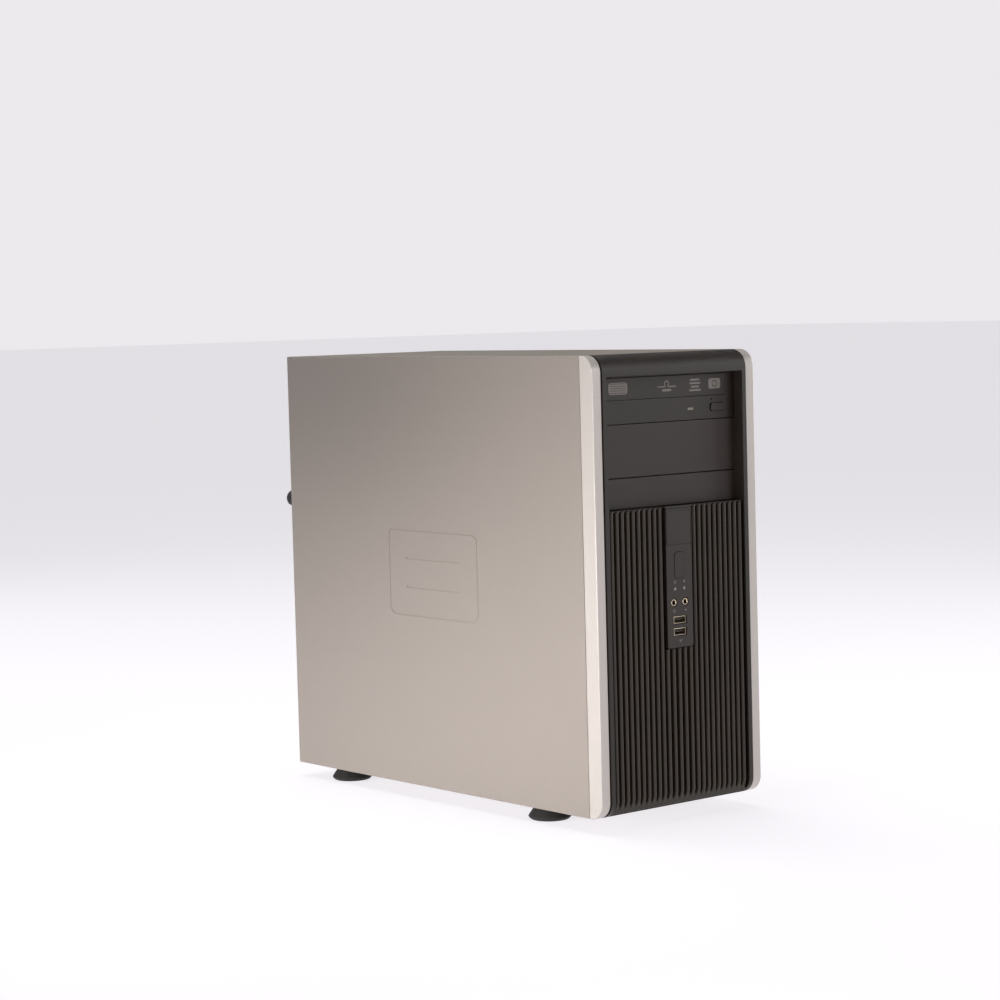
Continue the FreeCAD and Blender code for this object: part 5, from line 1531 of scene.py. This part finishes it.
@dataclass
class Wiring:
    """The cables inside the case and the plugs on their ends.

    Attributes:
        body: the CAD body that the plugs ride on.
    """

    body: str = "chassis"

    def build(self) -> None:
        """Lay the cables and put their plugs on."""
        for harness in HARNESSES:
            harness.curve()
        self.plugs()

    def plugs(self) -> None:
        """Plugs at the board, the drives and the front board."""
        main = Shape.box((57.5, 65.2), (-42.6, -33.4), (183.8, 236.2), 0.6)
        main.join(Shape.box((58.5, 64.5), (-44.2, -42.4), (204.0, 216.0), 0.4))
        main.piece("main_power_plug", NYLON_PALE, self.body, slot="pale_plastic")
        dark, blue = Shape(), Shape()
        dark.join(Shape.box((-26.0, -10.5), (-38.8, -30.0), (224.8, 231.2), 0.5))
        dark.join(Shape.box((26.0, 42.0), (-24.4, -15.0), (329.0, 335.4), 0.5))
        for at in ((-4.0, -38.8, 228.0), (0.0, -24.4, 334.0)):
            blue.join(Shape.box((at[0] - 3.2, at[0] + 5.8), (at[1], at[1] + 9.0), about(at[2], 3.0), 0.5))
        for z in (76.0, 86.0):
            blue.join(Shape.box((58.6, 69.6), (-35.6, -26.4), about(z, 3.4), 0.5))
        dark.join(Shape.box((60.0, 69.8), (-3.0, 11.0), (32.0, 37.0), 0.4))
        dark.piece("drive_power_plugs", BLACK_DEEP, self.body, slot="black_plastic")
        blue.piece("data_plugs", CABLE_RED, self.body, slot="cable_blue")


HARNESSES = (
    Harness("main_power_harness", "main_power_cable", CABLE_BLACK, 5.0, (
        (0.040, 0.0575, 0.3175), (0.040, 0.034, 0.3175), (0.041, 0.010, 0.308), (0.043, -0.012, 0.286),
        (0.044, -0.028, 0.258), (0.046, -0.036, 0.232), (0.052, -0.038, 0.212), (0.0649, -0.038, 0.210))),
    Harness("hard_drive_power_harness", "drive_power_cables", CABLE_YELLOW, 3.0, (
        (0.030, 0.0575, 0.310), (0.030, 0.036, 0.310), (0.022, 0.014, 0.300), (0.008, -0.004, 0.282),
        (-0.006, -0.014, 0.258), (-0.014, -0.014, 0.236), (-0.015, -0.024, 0.228), (-0.015, -0.039, 0.228))),
    Harness("hard_drive_data_cable", "drive_data_cables", CABLE_BLUE, 2.0, (
        (0.0694, -0.031, 0.076), (0.052, -0.031, 0.078), (0.034, -0.026, 0.098), (0.020, -0.016, 0.130),
        (0.008, -0.010, 0.166), (-0.002, -0.012, 0.198), (-0.004, -0.024, 0.226), (-0.004, -0.039, 0.228))),
    Harness("disc_drive_power_harness", "drive_power_cables", CABLE_YELLOW, 3.0, (
        (0.050, 0.0575, 0.325), (0.050, 0.040, 0.325), (0.043, 0.020, 0.328), (0.035, 0.004, 0.331),
        (0.034, -0.010, 0.332), (0.034, -0.0242, 0.3322))),
    Harness("disc_drive_data_cable", "drive_data_cables", CABLE_BLUE, 2.0, (
        (0.0694, -0.031, 0.086), (0.054, -0.031, 0.088), (0.036, -0.022, 0.106), (0.024, -0.006, 0.136),
        (0.018, 0.002, 0.176), (0.014, 0.004, 0.216), (0.008, 0.004, 0.256), (0.002, 0.002, 0.296),
        (0.0, -0.009, 0.328), (0.0, -0.0242, 0.334))),
    Harness("front_panel_harness", "front_panel_cable", CABLE_BLACK, 2.2, (
        (0.0694, 0.004, 0.0345), (0.056, 0.002, 0.035), (0.044, -0.022, 0.038), (0.034, -0.056, 0.050),
        (0.025, -0.090, 0.072), (0.016, -0.126, 0.102), (0.006, -0.160, 0.136), (0.0, -0.180, 0.150),
        (0.0, -0.1936, 0.152))),
)


# ---------------------------------------------------------------------- studio
WARM_LIGHT = (1.0, 0.98, 0.96)


@dataclass(frozen=True)
class Lamp:
    """One soft area light.

    Attributes:
        name: what it does.
        place: where it stands, in metres.
        aim: what it points at.
        size: its width and height.
        power: its power in watts.
        colour: its colour, linear.
        spread: how wide its beam is, in degrees.
    """

    name: str
    place: Triple
    aim: Triple
    size: Pair
    power: float
    colour: Triple = (1.0, 1.0, 1.0)
    spread: float = 180.0

    def hang(self) -> None:
        """Put the light in the scene."""
        data = bpy.data.lights.new(self.name, "AREA")
        data.shape = "RECTANGLE"
        data.size, data.size_y = self.size
        data.energy = self.power
        data.color = self.colour
        data.spread = math.radians(self.spread)
        thing = put(self.name, data)
        thing.location = self.place
        way = Vector(self.aim) - Vector(self.place)
        thing.rotation_euler = way.to_track_quat("-Z", "Y").to_euler()


@dataclass
class Studio:
    """The floor, the backdrop's light, the lamps and the camera.

    Attributes:
        eye: the camera's place, in metres.
        yaw: its heading from +Y towards +X, in radians.
        pitch: its tilt up.
        roll: its turn about its own line of sight.
        lens: its focal length in millimetres on a 36 mm frame.
        glow: how strongly the surround lights the tower.
        seen: how bright the surround looks to the camera.
        lamps: the lights.
    """

    eye: Triple = (-1.45758, -1.75331, 0.41725)
    yaw: float = 0.68990
    pitch: float = -0.07275
    roll: float = -0.026366
    lens: float = 95.83
    glow: float = 0.08
    seen: float = 0.95
    lamps: tuple[Lamp, ...] = field(default_factory=lambda: (
        Lamp("key", (-0.66, -0.9, 0.28), (-0.09, -0.2, 0.24), (0.3, 0.5), 1.5, WARM_LIGHT),
        Lamp("side_wash", (-0.85, -0.24, 0.26), (-0.09, -0.26, 0.24), (0.2, 0.4), 0.62, WARM_LIGHT, 60.0),
        Lamp("low_wash", (-0.85, 0.2, 0.14), (-0.09, 0.08, 0.02), (0.6, 0.1), 0.6, WARM_LIGHT, 50.0),
        Lamp("front_fill", (0.9, -2.0, 0.9), (0.0, 0.0, 0.2), (1.2, 1.0), 9.0),
        Lamp("right_rim", (1.6, -0.6, 0.7), (0.0, 0.0, 0.2), (0.8, 1.0), 10.0),
        Lamp("top", (0.0, 0.4, 1.8), (0.0, 0.0, 0.3), (1.4, 1.4), 24.0),
        Lamp("back_fill", (-0.3, 1.9, 0.9), (0.0, 0.0, 0.2), (1.2, 1.0), 6.0),
    ))

    def build(self) -> None:
        """Set up the floor, the lights and the camera."""
        self.floor()
        self.sky()
        for lamp in self.lamps:
            lamp.hang()
        self.camera()

    def floor(self) -> None:
        """A wide pale floor."""
        mesh = bpy.data.meshes.new("studio_floor")
        made = bmesh.new()
        bmesh.ops.create_grid(made, x_segments=1, y_segments=1, size=30.0)
        made.to_mesh(mesh)
        made.free()
        mesh.materials.append(FLOOR_PAPER.material())
        put("studio_floor", mesh)

    def sky(self) -> None:
        """An even pale surround: bright where it is looked at, softer where it lights the tower."""
        world = bpy.data.worlds.new("studio_surround")
        world.use_nodes = True
        tree = world.node_tree
        soft = tree.nodes["Background"]
        seen = tree.nodes.new("ShaderNodeBackground")
        for node, strength in ((soft, self.glow), (seen, self.seen)):
            node.inputs["Color"].default_value = linear(242, 239, 243)
            node.inputs["Strength"].default_value = strength
        path = tree.nodes.new("ShaderNodeLightPath")
        blend = tree.nodes.new("ShaderNodeMixShader")
        tree.links.new(path.outputs["Is Camera Ray"], blend.inputs[0])
        tree.links.new(soft.outputs[0], blend.inputs[1])
        tree.links.new(seen.outputs[0], blend.inputs[2])
        tree.links.new(blend.outputs[0], tree.nodes["World Output"].inputs["Surface"])
        bpy.context.scene.world = world

    def camera(self) -> None:
        """The camera that the front three-quarter view is seen through."""
        data = bpy.data.cameras.new("view")
        data.lens = self.lens
        data.sensor_width = 36.0
        data.clip_start, data.clip_end = 0.05, 100.0
        thing = put("view", data)
        right = Vector((math.cos(self.yaw), -math.sin(self.yaw), 0.0))
        ahead = Vector((math.sin(self.yaw) * math.cos(self.pitch), math.cos(self.yaw) * math.cos(self.pitch),
                        math.sin(self.pitch)))
        up = right.cross(ahead)
        rolled = math.cos(self.roll) * right + math.sin(self.roll) * up
        upright = math.cos(self.roll) * up - math.sin(self.roll) * right
        turn = Matrix((rolled, upright, -ahead)).transposed()
        thing.matrix_world = Matrix.Translation(self.eye) @ turn.to_4x4()
        bpy.context.scene.camera = thing
        bpy.context.scene.view_settings.view_transform = "Standard"


def main() -> None:
    """Build every sub-assembly, then the studio."""
    logging.basicConfig(level=logging.INFO, format="%(name)s: %(message)s")
    for assembly in (FrontBezel(), FrontControls(), OpticalDrive(), DriveCage(), SteelCase(), PowerUnit(),
                     Cooling(), MainBoard(), RearSockets(), Wiring(), Studio()):
        assembly.build()
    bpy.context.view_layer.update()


if __name__ == "__main__":
    main()
